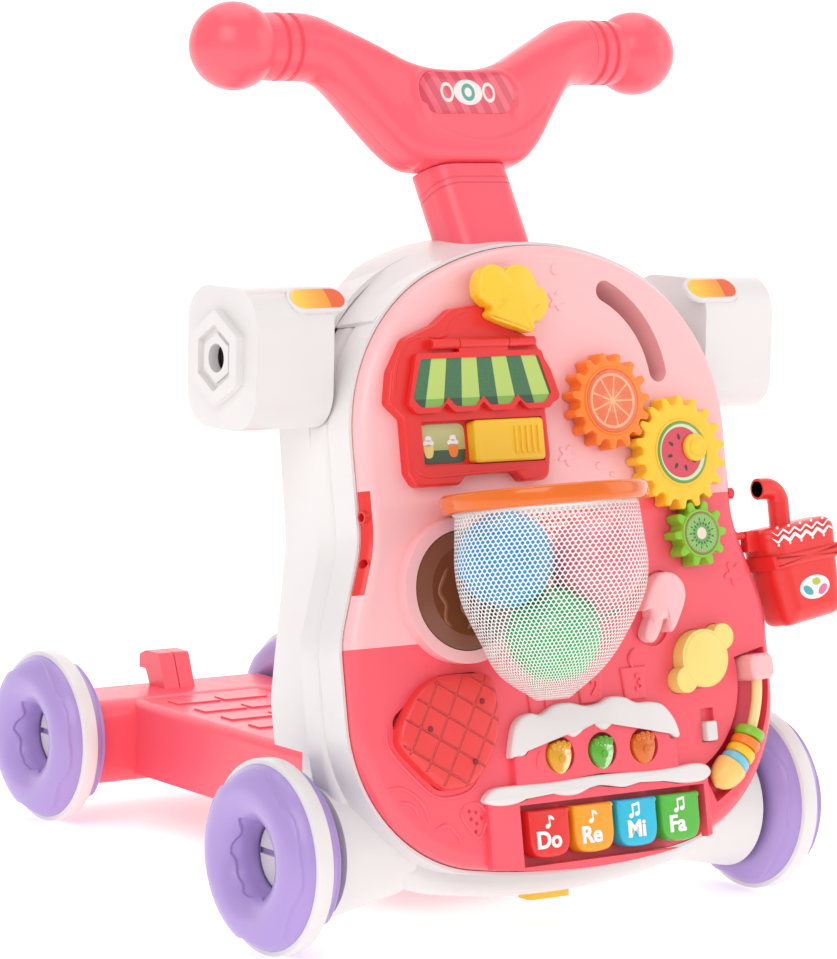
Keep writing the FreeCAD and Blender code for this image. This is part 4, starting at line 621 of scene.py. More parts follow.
EMBLEM_HEIGHT = 52.0            # of the window's middle, up the bar's plane
BAR_TOP = ((0, 71), (20, 72.5), (40, 78), (60, 88), (80, 98.5), (96, 106.5), (108, 109.5),
           (117, 110))
BAR_LOW = ((0, 5), (30, 5.5), (43, 8), (55, 17), (68, 31), (82, 47), (94, 59), (106, 65),
           (117, 66))


def edge_curve(points, x):
    """Height of an edge over x, eased through its points."""
    line = curve_through(points, 12)
    return np.interp(abs(x), line[:, 0], line[:, 1])


def pill_distance(a, b, half, radius):
    """Distance outside a slot outline, negative inside it."""
    return np.hypot(np.maximum(abs(a) - (half - radius), 0), b) - radius


def bar_surface():
    """Sections across the bar are superellipses whose power grows from 2 at the grips to
    3.8 at the middle; the front also carries the emblem's raised rim and a smile crease."""
    x = np.linspace(-116, 116, 233)[:, None]
    t = around(160)[None, :]
    top, low = edge_curve(BAR_TOP, x), edge_curve(BAR_LOW, x)
    ease = np.clip((abs(x) - 45) / 55, 0, 1)
    power = 3.8 - 1.8 * ease * ease * (3 - 2 * ease)
    c, s = np.cos(t), np.sin(t)
    v = (top + low) / 2 + (top - low) / 2 * np.sign(s) * abs(s) ** (2 / power)
    h = 21.6 * np.sign(c) * abs(c) ** (2 / power)
    rim = pill_distance(x, v - EMBLEM_HEIGHT, 43, 18.5)
    front = (c > 0) * np.clip(h / 14, 0, 1)
    h = h + front * (1.5 / (1 + np.exp(rim / 0.8)) - 2.4 / (1 + np.exp((rim + 4.2) / 0.35)))
    crease = v - (20.5 + 0.0075 * (x - 8) ** 2)
    reach = np.clip((62 - abs(x - 8)) / 8, 0, 1)
    h = h + front * reach * 0.9 / (1 + np.exp(crease / 0.5))
    return bar(np.broadcast_to(x, v.shape), v, h)


def emblem_finish():
    """Printed window: pink stripes, a pale wrapped sweet drawn by its masks."""
    finish = Finish("emblem_print", Coat_Weight=0.9, Coat_Roughness=0.04, Roughness=0.25)
    centre = bar(0.0, EMBLEM_HEIGHT, 20.0).tolist()
    x, y = (link * 1000 for link in
            finish.split(finish.place((BAR_LEAN - math.pi / 2, 0, 0), centre))[:2])
    stripes = (x * 0.55 + y * 0.25).sine().above(0.1, 0.1)
    base = finish.mix("D4374F", "E8566B", stripes)
    sweet = ((x / 11.5).power(2.0) + (y / 8.6).power(2.0)).below(1.0, 0.05)
    ring = ((x / 4.8).power(2.0) + (y / 5.4).power(2.0)).root()
    wrap = (abs(x) - 16.8).power(2.0) / 26 + (y / 6.8).power(2.0)
    wings = wrap.below(1.0, 0.08) * (1 - wrap.below(0.45, 0.08))
    base = finish.mix(base, "F5DDD8", sweet.most(wings))
    band = abs(ring - 0.85).below(0.27, 0.06)
    return finish.printed(finish.mix(base, "3E9C8F", band), 500.0)


def bar_seam(finish):
    """Fine joint between the front and back halves."""
    centre = bar(0.0, 0.0).tolist()
    z = finish.split(finish.place((BAR_LEAN - math.pi / 2, 0, 0), centre))[2]
    return abs(z * 1000).below(0.45, 0.3) * -0.0006


def build_handlebar():
    """One wing-shaped bar over both halves and the domed window on its front."""
    shell = Form().grid(bar_surface(), caps="low high").piece(
        "handlebar_wings", moulded("handlebar_plastic", COLOURS["coral"], relief=bar_seam),
        "chassis", "coral_plastic", 30)
    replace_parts(shell, "handlebar_front_shell", "handlebar_rear_shell")
    window = pill(38.6, 14.2, (0, EMBLEM_HEIGHT), count=96)
    emblem = emboss("handlebar_emblem", [window], bar, 18.0, 21.6, emblem_finish(), "chassis",
                    "print_film", 0.5, 0.8)
    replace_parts(emblem, "handlebar_badge")


build_handlebar()


# ---------------------------------------------------------------- arm badges

BADGE_PLACE = {"left": -158.6, "right": 158.6}


def badge_frame(side):
    """Plane of the oval badge on an arm's front upper edge, which is rounded by 24, at 45
    degrees; it lies 24 (1 - cos 45) inside the arm's corner."""
    inset = 24 * 0.293
    half = math.sqrt(0.5)
    return plane((BADGE_PLACE[side], -207 + inset, 415 - inset), (1, 0, 0), (0, half, half))


def badge_finish(side):
    """Print of the badge: yellow deepening to orange, orange on the outer third."""
    finish = Finish("badge_print_" + side, Coat_Weight=0.7, Roughness=0.28)
    x = finish.split(finish.place())[0]
    along = (x - BADGE_PLACE[side] / 1000) * 1000
    glow = along.above(-6.0, 14.0)
    base = finish.mix("FBCB45", "F29A2E", glow)
    return finish.printed(finish.mix(base, "E9602B", along.above(7.0, 0.3)), 600.0)


def build_badges():
    """A white rim and a domed print, both slots pulled out across the arm."""
    for side in ("left", "right"):
        at = badge_frame(side)
        rim = emboss("badge_rim_" + side, [pill(22, 10, count=64)], at, -2.0, 1.0,
                     *cast("white", "chassis"), 0.8)
        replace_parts(rim, "arm_badges")
        emboss("badge_print_" + side, [pill(19.6, 7.6, count=64)], at, 0.4, 1.7,
               badge_finish(side), "chassis", "orange_plastic", 0.4, 0.5)


build_badges()


# ---------------------------------------------------------------- gears and their prints

def polar(finish, x, y):
    """Distance from the middle and angle in turns."""
    far = (x * x + y * y).root()
    turn = finish.node("ShaderNodeMath", {"operation": "ARCTAN2"}, {0: y, 1: x})
    return far, turn / (2 * math.pi)


def citrus_print(finish, x, y):
    """Orange slice: salmon rim, pale ring and nine pale walls between the segments."""
    far, turn = polar(finish, x, y)
    wall = abs((turn * 9).part() - 0.5)
    pith = (far * (0.5 - wall)).below(0.75, 0.15) * far.below(17.4, 0.15)
    ring = abs(far - 17.0).below(0.85, 0.15)
    spark = (abs((turn * 27).part() - 0.5) * far).below(0.55, 0.15) * far.below(8.0, 0.6)
    base = finish.mix("EE7546", "E8663D", finish.noise(finish.place(), 260.0))
    base = finish.mix(base, "FBB27E", pith.most(ring).most(spark))
    return finish.mix(base, "EC6A4C", far.above(18.1, 0.15))


def melon_print(finish, x, y):
    """Watermelon slice: green rind, pale ring, red flesh and eight drop-shaped seeds."""
    far, turn = polar(finish, x, y)
    base = finish.mix("DB3A4C", "C92F45", finish.noise(finish.place(), 220.0))
    base = finish.mix(base, "CFE0B0", (far + x * 0.04).above(16.6, 0.15))
    base = finish.mix(base, "5E9C55", (far - x * 0.02).above(18.5, 0.15))
    spin = ((turn * 8 + 0.25).part() - 0.5) * (2 * math.pi / 8) * 10.6
    drop = (spin / (1.25 - (far - 10.4) * 0.28)).power(2.0) + ((far - 10.6) / 2.2).power(2.0)
    return finish.mix(base, "2A0E0B", drop.below(1.0, 0.12))


def kiwi_print(finish, x, y):
    """Kiwi slice: brown skin, green flesh, a pale heart and two rings of dark seeds."""
    far, turn = polar(finish, x, y)
    ray = (turn * 36 * 2 * math.pi).sine() * 0.5 + 0.5
    base = finish.mix("8CBF5E", "74AE4C", ray)
    base = finish.mix(base, "5F9E46", far.below(7.4, 1.2))
    inner = (abs((turn * 17).part() - 0.5) * far).below(1.1, 0.2)
    outer = (abs((turn * 13).part() - 0.5) * far).below(0.9, 0.2)
    seeds = (inner * abs(far - 6.6).below(1.0, 0.2)).most(outer * abs(far - 9.2).below(0.9, 0.2))
    base = finish.mix(base, "16261B", seeds)
    base = finish.mix(base, "E9D3BD", far.below(3.9, 0.25))
    return finish.mix(base, "8E7750", far.above(12.5, 0.2))


GEAR_COLOURS = {"yellow": "yellow", "orange": "orange", "green": "lime"}
YELLOW_GEAR = (95.0, 309.2)     # its middle on the panel
GEAR_MODULE = 3.9               # pitch diameter for each tooth


def build_gear_prints():
    """Fruit slices laid into the gears, each inside a rim turned round the gear's axis."""
    spots = {"yellow": YELLOW_GEAR}
    for name, apart, angle in (("orange", 64.35, 146.3), ("green", 54.6, -79.1)):
        a = math.radians(angle)
        spots[name] = (YELLOW_GEAR[0] + apart * math.cos(a),
                       YELLOW_GEAR[1] + apart * math.sin(a))
    for name, pattern, radius in (("orange", citrus_print, 20.4), ("yellow", melon_print, 20.2),
                                  ("green", kiwi_print, 13.9)):
        finish = Finish("slice_print_" + name, Coat_Weight=0.6, Coat_Roughness=0.08,
                        Roughness=0.3)
        x, y = panel_spot(finish, *spots[name], 13.0)[:2]
        emboss("slice_" + name, [oval(radius, radius, spots[name], count=72)], panel, 12.6, 13.5,
               finish.printed(pattern(finish, x, y), 700.0), "gear_" + name, "print_film", 0.3)
        lip = radius + np.array([0.0, 0.5, 1.4, 1.9, 1.9, 0.0])[:, None]
        rise = np.array([13.4, 14.0, 14.0, 13.4, 12.6, 12.6])[:, None]
        t = around(72)
        rim = panel(spots[name][0] + lip * np.cos(t), spots[name][1] + lip * np.sin(t),
                    rise - 0.2)
        Form().grid(rim, round_rows=True).piece(
            "slice_rim_" + name, *cast(GEAR_COLOURS[name], "gear_" + name), 50)


build_gear_prints()


# ---------------------------------------------------------------- van, flap and shutter

def awning_finish():
    """Printed awning behind a clear window: dark and light green stripes that fan out
    downwards, with a darker valance below a straight fold."""
    finish = Finish("awning_print", Coat_Weight=1.0, Coat_Roughness=0.03, Roughness=0.35)
    u, w = panel_spot(finish, -62.0, 360.0)[:2]
    fan = u / (1 - w * 0.0065)
    stripe = (fan * (1 / 26.0) + 0.02).part().above(0.5, 0.008)
    speck = finish.noise(finish.place(), 900.0, 3.0, 0.7)
    dark = finish.mix("23592F", "3F7E4C", speck)
    base = finish.mix(dark, "B9D368", stripe)
    shade = finish.mix("1C4426", "7FB043", stripe)
    base = finish.mix(base, shade, w.below(-8.7, 0.15))
    finish.feed("Base Color", base)
    return finish.material


def card_finish():
    """Printed card: an olive wall above a dark counter."""
    finish = Finish("menu_card_print", Coat_Weight=0.8, Coat_Roughness=0.05, Roughness=0.3)
    w = panel_spot(finish, -86.0, 323.0)[1]
    wall = finish.mix("A9B062", "CBCB8C", w.above(2.0, 10.0))
    speck = finish.noise(finish.place(), 800.0, 3.0, 0.7)
    counter = finish.mix("1F3B25", "3B5A35", speck)
    finish.feed("Base Color", finish.mix(wall, counter, w.below(-3.4, 0.15)))
    return finish.material


def build_van():
    """Awning print, a card with two sundaes flush with the shutter's floor, and ribs."""
    dress(awning_finish(), "flap_window")
    emboss("menu_card", [oval(17.2, 12.6, (-87.4, 323.5), power=7, count=64)], panel, 1.4, 2.12,
           card_finish(), "panel", "print_film", 0.1)
    cups = {"cream": [], "pale": [], "sherbet": []}
    for u, colour in ((-98.5, "pale"), (-79.5, "sherbet")):
        cups[colour].append(loop([(u - 3.4, 322.6), (u - 2.4, 315.6), (u + 2.4, 315.6),
                                  (u + 3.4, 322.6)], 6))
        cups["cream"] += [oval(4.3, 2.2, (u, 324.2), count=24),
                          oval(2.6, 2.0, (u + 0.2, 327.0), count=20)]
    inks = {"cream": plastic["ink"], "pale": plastic["candy"], "sherbet": plastic["orange"]}
    for colour, outlines in cups.items():
        emboss("sundae_" + colour, outlines, panel, 1.6, 2.24, inks[colour], "panel",
               "print_film", 0.1)
    red = cast("red", "panel")
    bead_line([[(-127.5, 345), (-122, 372), (-112, 388), (-98, 391)],
               [(-97, 391), (-84, 391), (-72, 404), (-60, 408)]], panel, 7.6, 1.5, 0.7).piece(
        "van_outline_rib", *red)
    bead_line([[(-116, 309), (-104, 303), (-60, 304), (-10, 305)]], panel, 7.7, 1.0, 0.6).piece(
        "van_sill_rib", *red)


def build_hat():
    """Soft folds on the puff and the two edges of the hat's band."""
    folds = [[(-44.5, 418), (-42.0, 414.5), (-43.5, 410)],
             [(-31, 416.5), (-29.6, 413), (-31.6, 409)],
             [(-22.0, 404.5), (-18.0, 404.8), (-15.5, 408)]]
    yellow = cast("yellow", "chef_hat")
    bead_line(folds, panel, 20.0, 1.0, 0.8).piece("hat_folds", *yellow)
    bead_line([[(-55, 401), (-40, 396.4), (-23, 390.6)]], panel, 19.4, 0.9, 0.8).piece(
        "hat_band_edge", *yellow)


build_van()
build_hat()


# ---------------------------------------------------------------- hoop, net and balls

HOOP = (-57.0, 283.5, 62.0)     # middle of the hoop on the panel and out of it
HOOP_RADIUS = 60.9
BALL_RADIUS = 29.8
NET_REACH = 31.5                # nearest that the net comes to a ball's middle
BALLS = {"blue": ((-91, 247.5, 63), "16A4DC"), "pink": ((-26, 241.5, 69), "FF7C8E"),
         "green": ((-55, 199.5, 57), "2CC46C")}
NET_RINGS = np.array([  # drop below the hoop, across, out, half width, half depth
    (3, 0, 63, 58, 52), (8, 0, 64, 61, 54), (35, 1, 66, 71, 48.8), (60, 2, 64, 68, 45.7),
    (85, 2, 59, 52.5, 40), (107, 3, 51, 35.4, 30.5), (125, 6, 45, 10.4, 9.8)])


def hoop_frame():
    """Plane of the hoop: across the panel, out of it, with the hoop's axis up the slope."""
    centre = panel(*HOOP) * 1000
    return plane(centre, (1, 0, 0), (0, -math.cos(TILT), math.sin(TILT)))


def build_hoop():
    """Ring whose section is a rounded bar, 8 thick and 12 high; its back lies flat on the
    panel, where a mounting plate carries it."""
    at = hoop_frame()
    t = around(144)[:, None]
    section = oval(4.1, 6.0, power=3.2, count=28)
    r, c = HOOP_RADIUS + section[:, 0][None, :], section[:, 1][None, :]
    a, b = r * np.cos(t), np.maximum(r * np.sin(t), -61.9)
    ring = Form().grid(at(a, b, np.broadcast_to(-c, a.shape)), round_rows=True)
    plate = oval(30, 5.9, (-57, 283.5), power=6, count=64)
    ring.grid(raised(plate, panel, 0.05, 8.0, 1.5), caps="low")
    hoop = ring.piece("hoop_ring", clear_plastic("orange_clear", "FF7A10", 0.3), "panel",
                      "orange_plastic", 45)
    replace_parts(hoop, "hoop")


def ball_finish(name, code):
    """Thin blown ball: milky colour, soft dimples and a faint seam round its middle."""
    finish = Finish(name + "_ball", Coat_Weight=0.3, Subsurface_Weight=0.1,
                    Subsurface_Scale=0.01)
    where = finish.place()
    cloud = finish.noise(where, 24.0, 3.0)
    finish.feed("Base Color", finish.mix(tone(code, 0.92), tone(code, 1.12), cloud))
    finish.feed("Roughness", 0.28 + cloud * 0.12)
    finish.bump(cloud * 0.6 + finish.noise(where, 700.0) * 0.05, 0.0006)
    return finish.material


def build_balls():
    """Balls with a seam rib: r = BALL_RADIUS (1 + 0.006 exp(-(latitude / 1.2 deg)^2))."""
    up = np.radians(np.concatenate((np.linspace(-90, -6, 22), np.linspace(-5, 5, 21),
                                    np.linspace(6, 90, 22))))[:, None]
    t = around(64)[None, :]
    for number, (name, (spot, code)) in enumerate(BALLS.items()):
        r = BALL_RADIUS * (1 + 0.006 * np.exp(-(np.degrees(up) / 1.2) ** 2))
        x, y, z = (r * np.cos(up) * np.cos(t), r * np.cos(up) * np.sin(t),
                   r * np.sin(up) * np.ones_like(t))
        lean = 0.7 + number
        y, z = y * math.cos(lean) - z * math.sin(lean), y * math.sin(lean) + z * math.cos(lean)
        ball = Form().grid(panel(spot[0] + x, spot[1] + y, spot[2] + z), caps="").piece(
            "play_ball_" + name, ball_finish(name, code), "panel", "ball_plastic")
        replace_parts(ball, "play_balls")


def net_point(s, t):
    """Point of the hanging net at s turns round and t of the way down.  Ellipses eased
    between the rings are drawn in between the balls, then pushed out to lie over them."""
    line = curve_through(NET_RINGS, 12)
    down = np.concatenate(([0], np.cumsum(np.hypot(np.diff(line[:, 0]), np.diff(line[:, 3])))))
    down /= down[-1]
    drop, u, out, wide, deep = (np.interp(t, down, line[:, k]) for k in range(5))
    slack = 1 - 0.10 * np.clip(t * 5, 0, 1) * (1 - t) * (1.2 + np.sin(2 * np.pi * s * 3 + 1.2))
    x = HOOP[0] + u + wide * slack * np.cos(2 * np.pi * s)
    h = out + deep * slack * np.sin(2 * np.pi * s)
    point = np.stack((x, HOOP[1] - drop, np.maximum(h, 4.0)), -1)
    for spot, _ in BALLS.values():
        away = point - np.array(spot, float)
        far = np.linalg.norm(away, axis=-1)[..., None]
        point = np.where(far < NET_REACH, np.array(spot) + away / far * NET_REACH, point)
    return point


def net_cells(columns, rows):
    """Openwork of six-sided cells in offset rows; each cell is a band of six quads between
    its border and its hole, all found from one table of corner steps."""
    corner = np.array([(-0.5, -0.17), (0.0, -0.5), (0.5, -0.17), (0.5, 0.17), (0.0, 0.5),
                       (-0.5, 0.17)])
    hole = corner * np.array((0.72, 0.75))
    i, j = np.meshgrid(np.arange(columns), np.arange(rows), indexing="ij")
    centre = np.stack((i + 0.5 * (j % 2), j * 0.67 + 0.5), -1).reshape(-1, 1, 2)
    spots = np.concatenate((centre + corner, centre + hole), 1)
    s, t = spots[..., 0] / columns, spots[..., 1] / (rows * 0.67 + 0.33)
    k = np.arange(6)
    quads = np.stack((k, (k + 1) % 6, (k + 1) % 6 + 6, k + 6), -1)
    faces = (np.arange(len(centre))[:, None, None] * 12 + quads).reshape(-1, 4)
    return s.ravel(), np.clip(t, 0, 1).ravel(), faces


def thread_finish():
    """White knitted thread: fine twist along the strands, a soft sheen."""
    finish = Finish("net_thread", Roughness=0.75, Sheen_Weight=0.3)
    where = finish.place()
    twist = finish.noise(where, 2600.0, 3.0, 0.7)
    finish.feed("Base Color", finish.mix("E9E6E4", "FBFAF8", twist))
    finish.bump(twist, 0.0002)
    return finish.material


def net_tape(start, end, wide):
    """Seam laid 0.7 outside the net from start to end, both as (turns, share of the way
    down); it bows down by 0.02 sin(pi g) and spreads by wide to either side."""
    g = np.linspace(0, 1, 40)[:, None]
    across = np.linspace(-1, 1, 5)[None, :]
    s = start[0] + (end[0] - start[0]) * g + across * wide[0]
    t = start[1] + (end[1] - start[1]) * g + 0.02 * np.sin(g * np.pi) + across * wide[1]
    point = net_point(s, t)
    away = (point - np.array((HOOP[0], 0, HOOP[2]))) * np.array((1, 0, 1))
    point = point + away / np.linalg.norm(away, axis=-1)[..., None] * 0.7
    return panel(*np.moveaxis(point, -1, 0))


def build_net():
    """The openwork bag, two seams on it and a round hem that hangs from the hoop."""
    s, t, faces = net_cells(columns=104, rows=58)
    mesh = bpy.data.meshes.new("net")
    mesh.from_pydata(panel(*net_point(s, t).T).tolist(), [], faces.tolist())
    tidy(mesh)
    thread = thread_finish()
    net = put("hanging_net", mesh, thread, "panel", "net_mesh", 180)
    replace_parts(net, "net")
    seams = Form()
    for start, end, wide in (((0.985, 0.50), (0.70, 0.60), (0, 0.022)),
                             ((0.80, 0.56), (0.76, 0.97), (0.009, 0))):
        seams.grid(net_tape(start, end, wide), round_columns=False)
    tape = put("net_seams", seams.mesh(), thread, "panel", "net_mesh")
    t = around(96)
    path = panel(HOOP[0] + 57.4 * np.cos(t), HOOP[1] - 6.4, HOOP[2] + 54.0 * np.sin(t))
    hem = Form().grid(tube(path, 0.0013, (0, math.sin(TILT), math.cos(TILT)), 8),
                      round_rows=True).piece("net_hem", thread, "panel", "net_mesh")


build_hoop()
build_balls()
build_net()


# ---------------------------------------------------------------- shell crown

def build_crown():
    """Roof that swells from the rim, w = 450.9 - 0.0028 u2 - 2.2e-8 u4, to the back."""
    u = np.linspace(-122, 122, 83)[:, None]
    high, lift = np.array([(-13, -0.6), (-22, 0.8), (-34, 3.6), (-48, 7.8), (-62, 11.2),
                           (-76, 13.0), (-90, 13.6), (-91, 10.5), (-76, 8.0), (-50, -1.0),
                           (-13, -3.4)]).T[:, None, :]
    ease = np.clip((126 - abs(u)) / 46, 0, 1)
    w = 450.9 - 0.0028 * u ** 2 - 2.2e-8 * u ** 4 + lift * np.where(lift > 0, ease, 1)
    Form().grid(panel(u + 0 * w, w, high + 0 * w), caps="low high").piece(
        "crown_roof", *cast("white", "chassis"))


build_crown()


# ---------------------------------------------------------------- cogs

def cog(centre, teeth, phase, count=12):
    """Blunt cog: the radius runs from root to tip along a steep tanh of cos(n t)."""
    pitch = GEAR_MODULE * teeth / 2
    t = around(teeth * count)
    wave = np.tanh(2.6 * (np.cos(teeth * (t - math.radians(phase))) - 0.12))
    r = pitch - 0.75 + 2.9 * wave
    return np.stack((centre[0] + r * np.cos(t), centre[1] + r * np.sin(t)), -1)


def build_cogs():
    """The three gears; the yellow one also carries a stepped knob beside its middle."""
    for name, centre, teeth, phase in (("yellow", YELLOW_GEAR, 18, 146.3),
                                       ("orange", (41.5, 344.9), 15, 338.3),
                                       ("green", (105.3, 255.6), 10, 145.2)):
        form = Form().grid(raised(cog(centre, teeth, phase), panel, 0.8, 13.0, 1.3), caps="low")
        if name == "yellow":
            hub = (centre[0] + 10.1, centre[1] + 2.7)
            form.grid(raised(oval(9, 9, hub), panel, 12.0, 16.4, 1.2), caps="low")
            form.grid(raised(oval(5.6, 5.6, hub), panel, 15.0, 17.2, 0.5), caps="low")
        wheel = form.piece("cog_" + name, *cast(GEAR_COLOURS[name], "gear_" + name), 50)
        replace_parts(wheel, "gear_" + name)


build_cogs()


# ---------------------------------------------------------------- waffle and donut

def waffle_relief(finish):
    """Grooves of the waffle: two sets of slanting lines over its top."""
    u, w, high = panel_spot(finish, -104.0, 143.0)
    first = abs(((u * 0.52 + w * 0.86) / 15.5).part() - 0.5).below(0.035, 0.02)
    second = abs(((u * 0.86 - w * 0.5) / 15.5).part() - 0.5).below(0.035, 0.02)
    return first.most(second) * high.above(8.5, 0.6) * -0.0016


def build_pads():
    """A rounded waffle with three dots, dark with painted shade where its holes are, and
    chocolate ribs on the doughnut.
    """
    waffle = loop([(-141.5, 137), (-128, 122), (-114, 110), (-104, 107.8), (-91, 110),
                   (-78, 121), (-68, 138), (-66, 152), (-67, 169), (-72, 177), (-86, 179),
                   (-108, 178.5), (-124, 171), (-136, 158), (-142, 147)], 10)
    pad = emboss("waffle_block", [waffle], panel, -1.0, 9.6,
                 moulded("waffle_plastic", "EA3B3A", relief=waffle_relief),
                 "waffle_pad", "red_plastic", 4.0, 0.8)
    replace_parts(pad, "waffle_pad")
    # painted shade: the three raised dots are dark to stand in for the shade inside the waffle's
    # holes
    holes = [oval(1.7, 1.9, spot, count=20) for spot in ((-121, 147), (-80, 161), (-89, 124))]
    emboss("waffle_hole_shade", holes, panel, 9.6, 11.0, *cast("dark_dot", "waffle_pad"), 0.3)
    drizzle = [[(-99, 208), (-104, 214), (-103, 223), (-107, 231), (-103, 240), (-99, 247)],
               [(-88, 206), (-85, 212), (-91, 220), (-88, 228)]]
    bead_line(drizzle, panel, 12.6, 1.5, 0.7).piece(
        "donut_drizzle", *cast("cocoa", "donut_pad"))


build_pads()


# ---------------------------------------------------------------- cake, buttons and keys

def shares(points, width, height, u, w):
    """Corners given as shares of a box centred on a spot."""
    p = np.array(points)
    return np.stack((u + (p[:, 0] - 0.5) * width, w + (p[:, 1] - 0.5) * height), -1)


def build_icing():
    """Glossy icing with rounded drips, in two runs."""
    upper = loop(shares([
        (0.0, 0.02), (0.03, 0.0), (0.085, 0.02), (0.13, 0.28), (0.19, 0.50), (0.26, 0.52),
        (0.32, 0.34), (0.37, 0.26), (0.42, 0.36), (0.47, 0.54), (0.51, 0.40), (0.55, 0.33),
        (0.60, 0.44), (0.65, 0.54), (0.69, 0.38), (0.73, 0.34), (0.78, 0.48), (0.83, 0.54),
        (0.89, 0.40), (0.94, 0.1), (0.98, 0.02),
        (0.99, 0.12), (0.965, 0.42), (0.91, 0.70), (0.84, 0.80), (0.75, 0.82), (0.68, 0.95),
        (0.60, 0.98), (0.53, 0.88), (0.45, 0.86), (0.36, 0.95), (0.27, 0.93), (0.19, 0.78),
        (0.13, 0.82), (0.07, 0.74), (0.03, 0.52)], 138, 32, 11, 140), 8)
    lower = loop(shares([
        (0.0, 0.42), (0.02, 0.16), (0.08, 0.04), (0.15, 0.12), (0.21, 0.42), (0.26, 0.46),
        (0.32, 0.22), (0.39, 0.16), (0.47, 0.44), (0.53, 0.40), (0.60, 0.24), (0.67, 0.36),
        (0.73, 0.46), (0.80, 0.24), (0.88, 0.08), (0.96, 0.12), (0.995, 0.42), (0.98, 0.8),
        (0.93, 0.95), (0.84, 0.88), (0.72, 0.86), (0.5, 0.94), (0.28, 0.86), (0.12, 0.90),
        (0.04, 0.84)], 183.5, 14, 11, 100.5), 8)
    icing = emboss("icing", [upper, lower], panel, 0.2, 6.6, *cast("white", "panel"), 2.2, 0.5)
    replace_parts(icing, "cake_icing")


def berry(u, w):
    """Rounded berry that narrows to its foot."""
    return loop([(u, w - 11.5), (u - 5.5, w - 8.5), (u - 8.8, w - 2), (u - 9, w + 4),
                 (u - 6, w + 8.5), (u - 2.5, w + 8.8), (u, w + 9.8), (u + 2.5, w + 8.8),
                 (u + 6, w + 8.5), (u + 9, w + 4), (u + 8.8, w - 2), (u + 5.5, w - 8.5)], 6)


def build_buttons():
    """Clear berries, each with four leaves and a boss in its middle."""
    for name, u in (("yellow", -19.2), ("green", 14.8), ("orange", 48.8)):
        form = Form().grid(raised(berry(u, 121), panel, -1.0, 6.6, 2.6, 1.4), caps="low")
        for du, dw, size in ((-5.5, 8, 2.6), (-1.8, 9.2, 2.8), (2.2, 9.2, 2.8), (5.8, 8, 2.5)):
            form.grid(raised(oval(size * 0.8, size, (u + du, 121 + dw * 0.8)), panel, 4.0, 8.0,
                             1.2, 0.8), caps="low")
        form.grid(raised(oval(2.4, 2.8, (u - 0.4, 119.5)), panel, 6.0, 9.0, 0.9), caps="low")
        button = form.piece("berry_" + name, jelly[name], "fruit_button_" + name,
                            name + "_plastic")
        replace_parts(button, "fruit_button_" + name)


def note(u, w, pair):
    """A quaver, or two joined by a beam, as overlapping outlines."""
    parts = [oval(1.9, 1.5, (u - 1.6, w - 3.2), 20, count=20),
             pill(3.6, 0.55, (u - 0.1, w), 90, 16)]
    if pair:
        parts += [oval(1.9, 1.5, (u + 3.4, w - 2.2), 20, count=20),
                  pill(3.6, 0.55, (u + 4.9, w + 1.0), 90, 16),
                  pill(3.2, 0.9, (u + 2.4, w + 3.9), 12, 16)]
    else:
        parts.append(oval(2.4, 0.9, (u + 1.7, w + 2.0), -40, count=20))
    return parts


def build_keys():
    """Blunt keys, rounded towards the player, with note names and marks."""
    pitch = 35.4
    places = (("do", "red", -35.0, 1.5), ("re", "amber", -1.0, 2.0),
              ("mi", "cyan", 35.5, -2.0), ("fa", "green", 69.0, 1.5))
    for number, (name, colour, u, aside) in enumerate(places):
        middle = 20.5 + (number - 1.5) * pitch
        half = [(15.7, 88.3), (15.7, 80), (15.5, 68), (12.5, 61), (6, 58.6)]
        key = loop([(middle - a, b) for a, b in half] + [(middle + a, b) for a, b in half[::-1]]
                   + [(middle + a, 88.9) for a in (13, 0, -13)], 5)
        body = "key_" + name
        piece = emboss("note_key_" + name, [key], panel, -5.0, 6.5, *cast(colour, body),
                       2.6, 0.5)
        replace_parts(piece, body)
        letters = words(name.capitalize(), 15.0, panel, (u, 69.3), 5.6, 7.6)
        put("name_" + name, letters, *cast("ink", body), 30)
        emboss("mark_" + name, note(u + aside, 81.5, number > 1), panel, 6.2, 7.5,
               *cast("ink", body), 0.3)


build_icing()
build_buttons()
build_keys()


# ---------------------------------------------------------------- relief on the panel

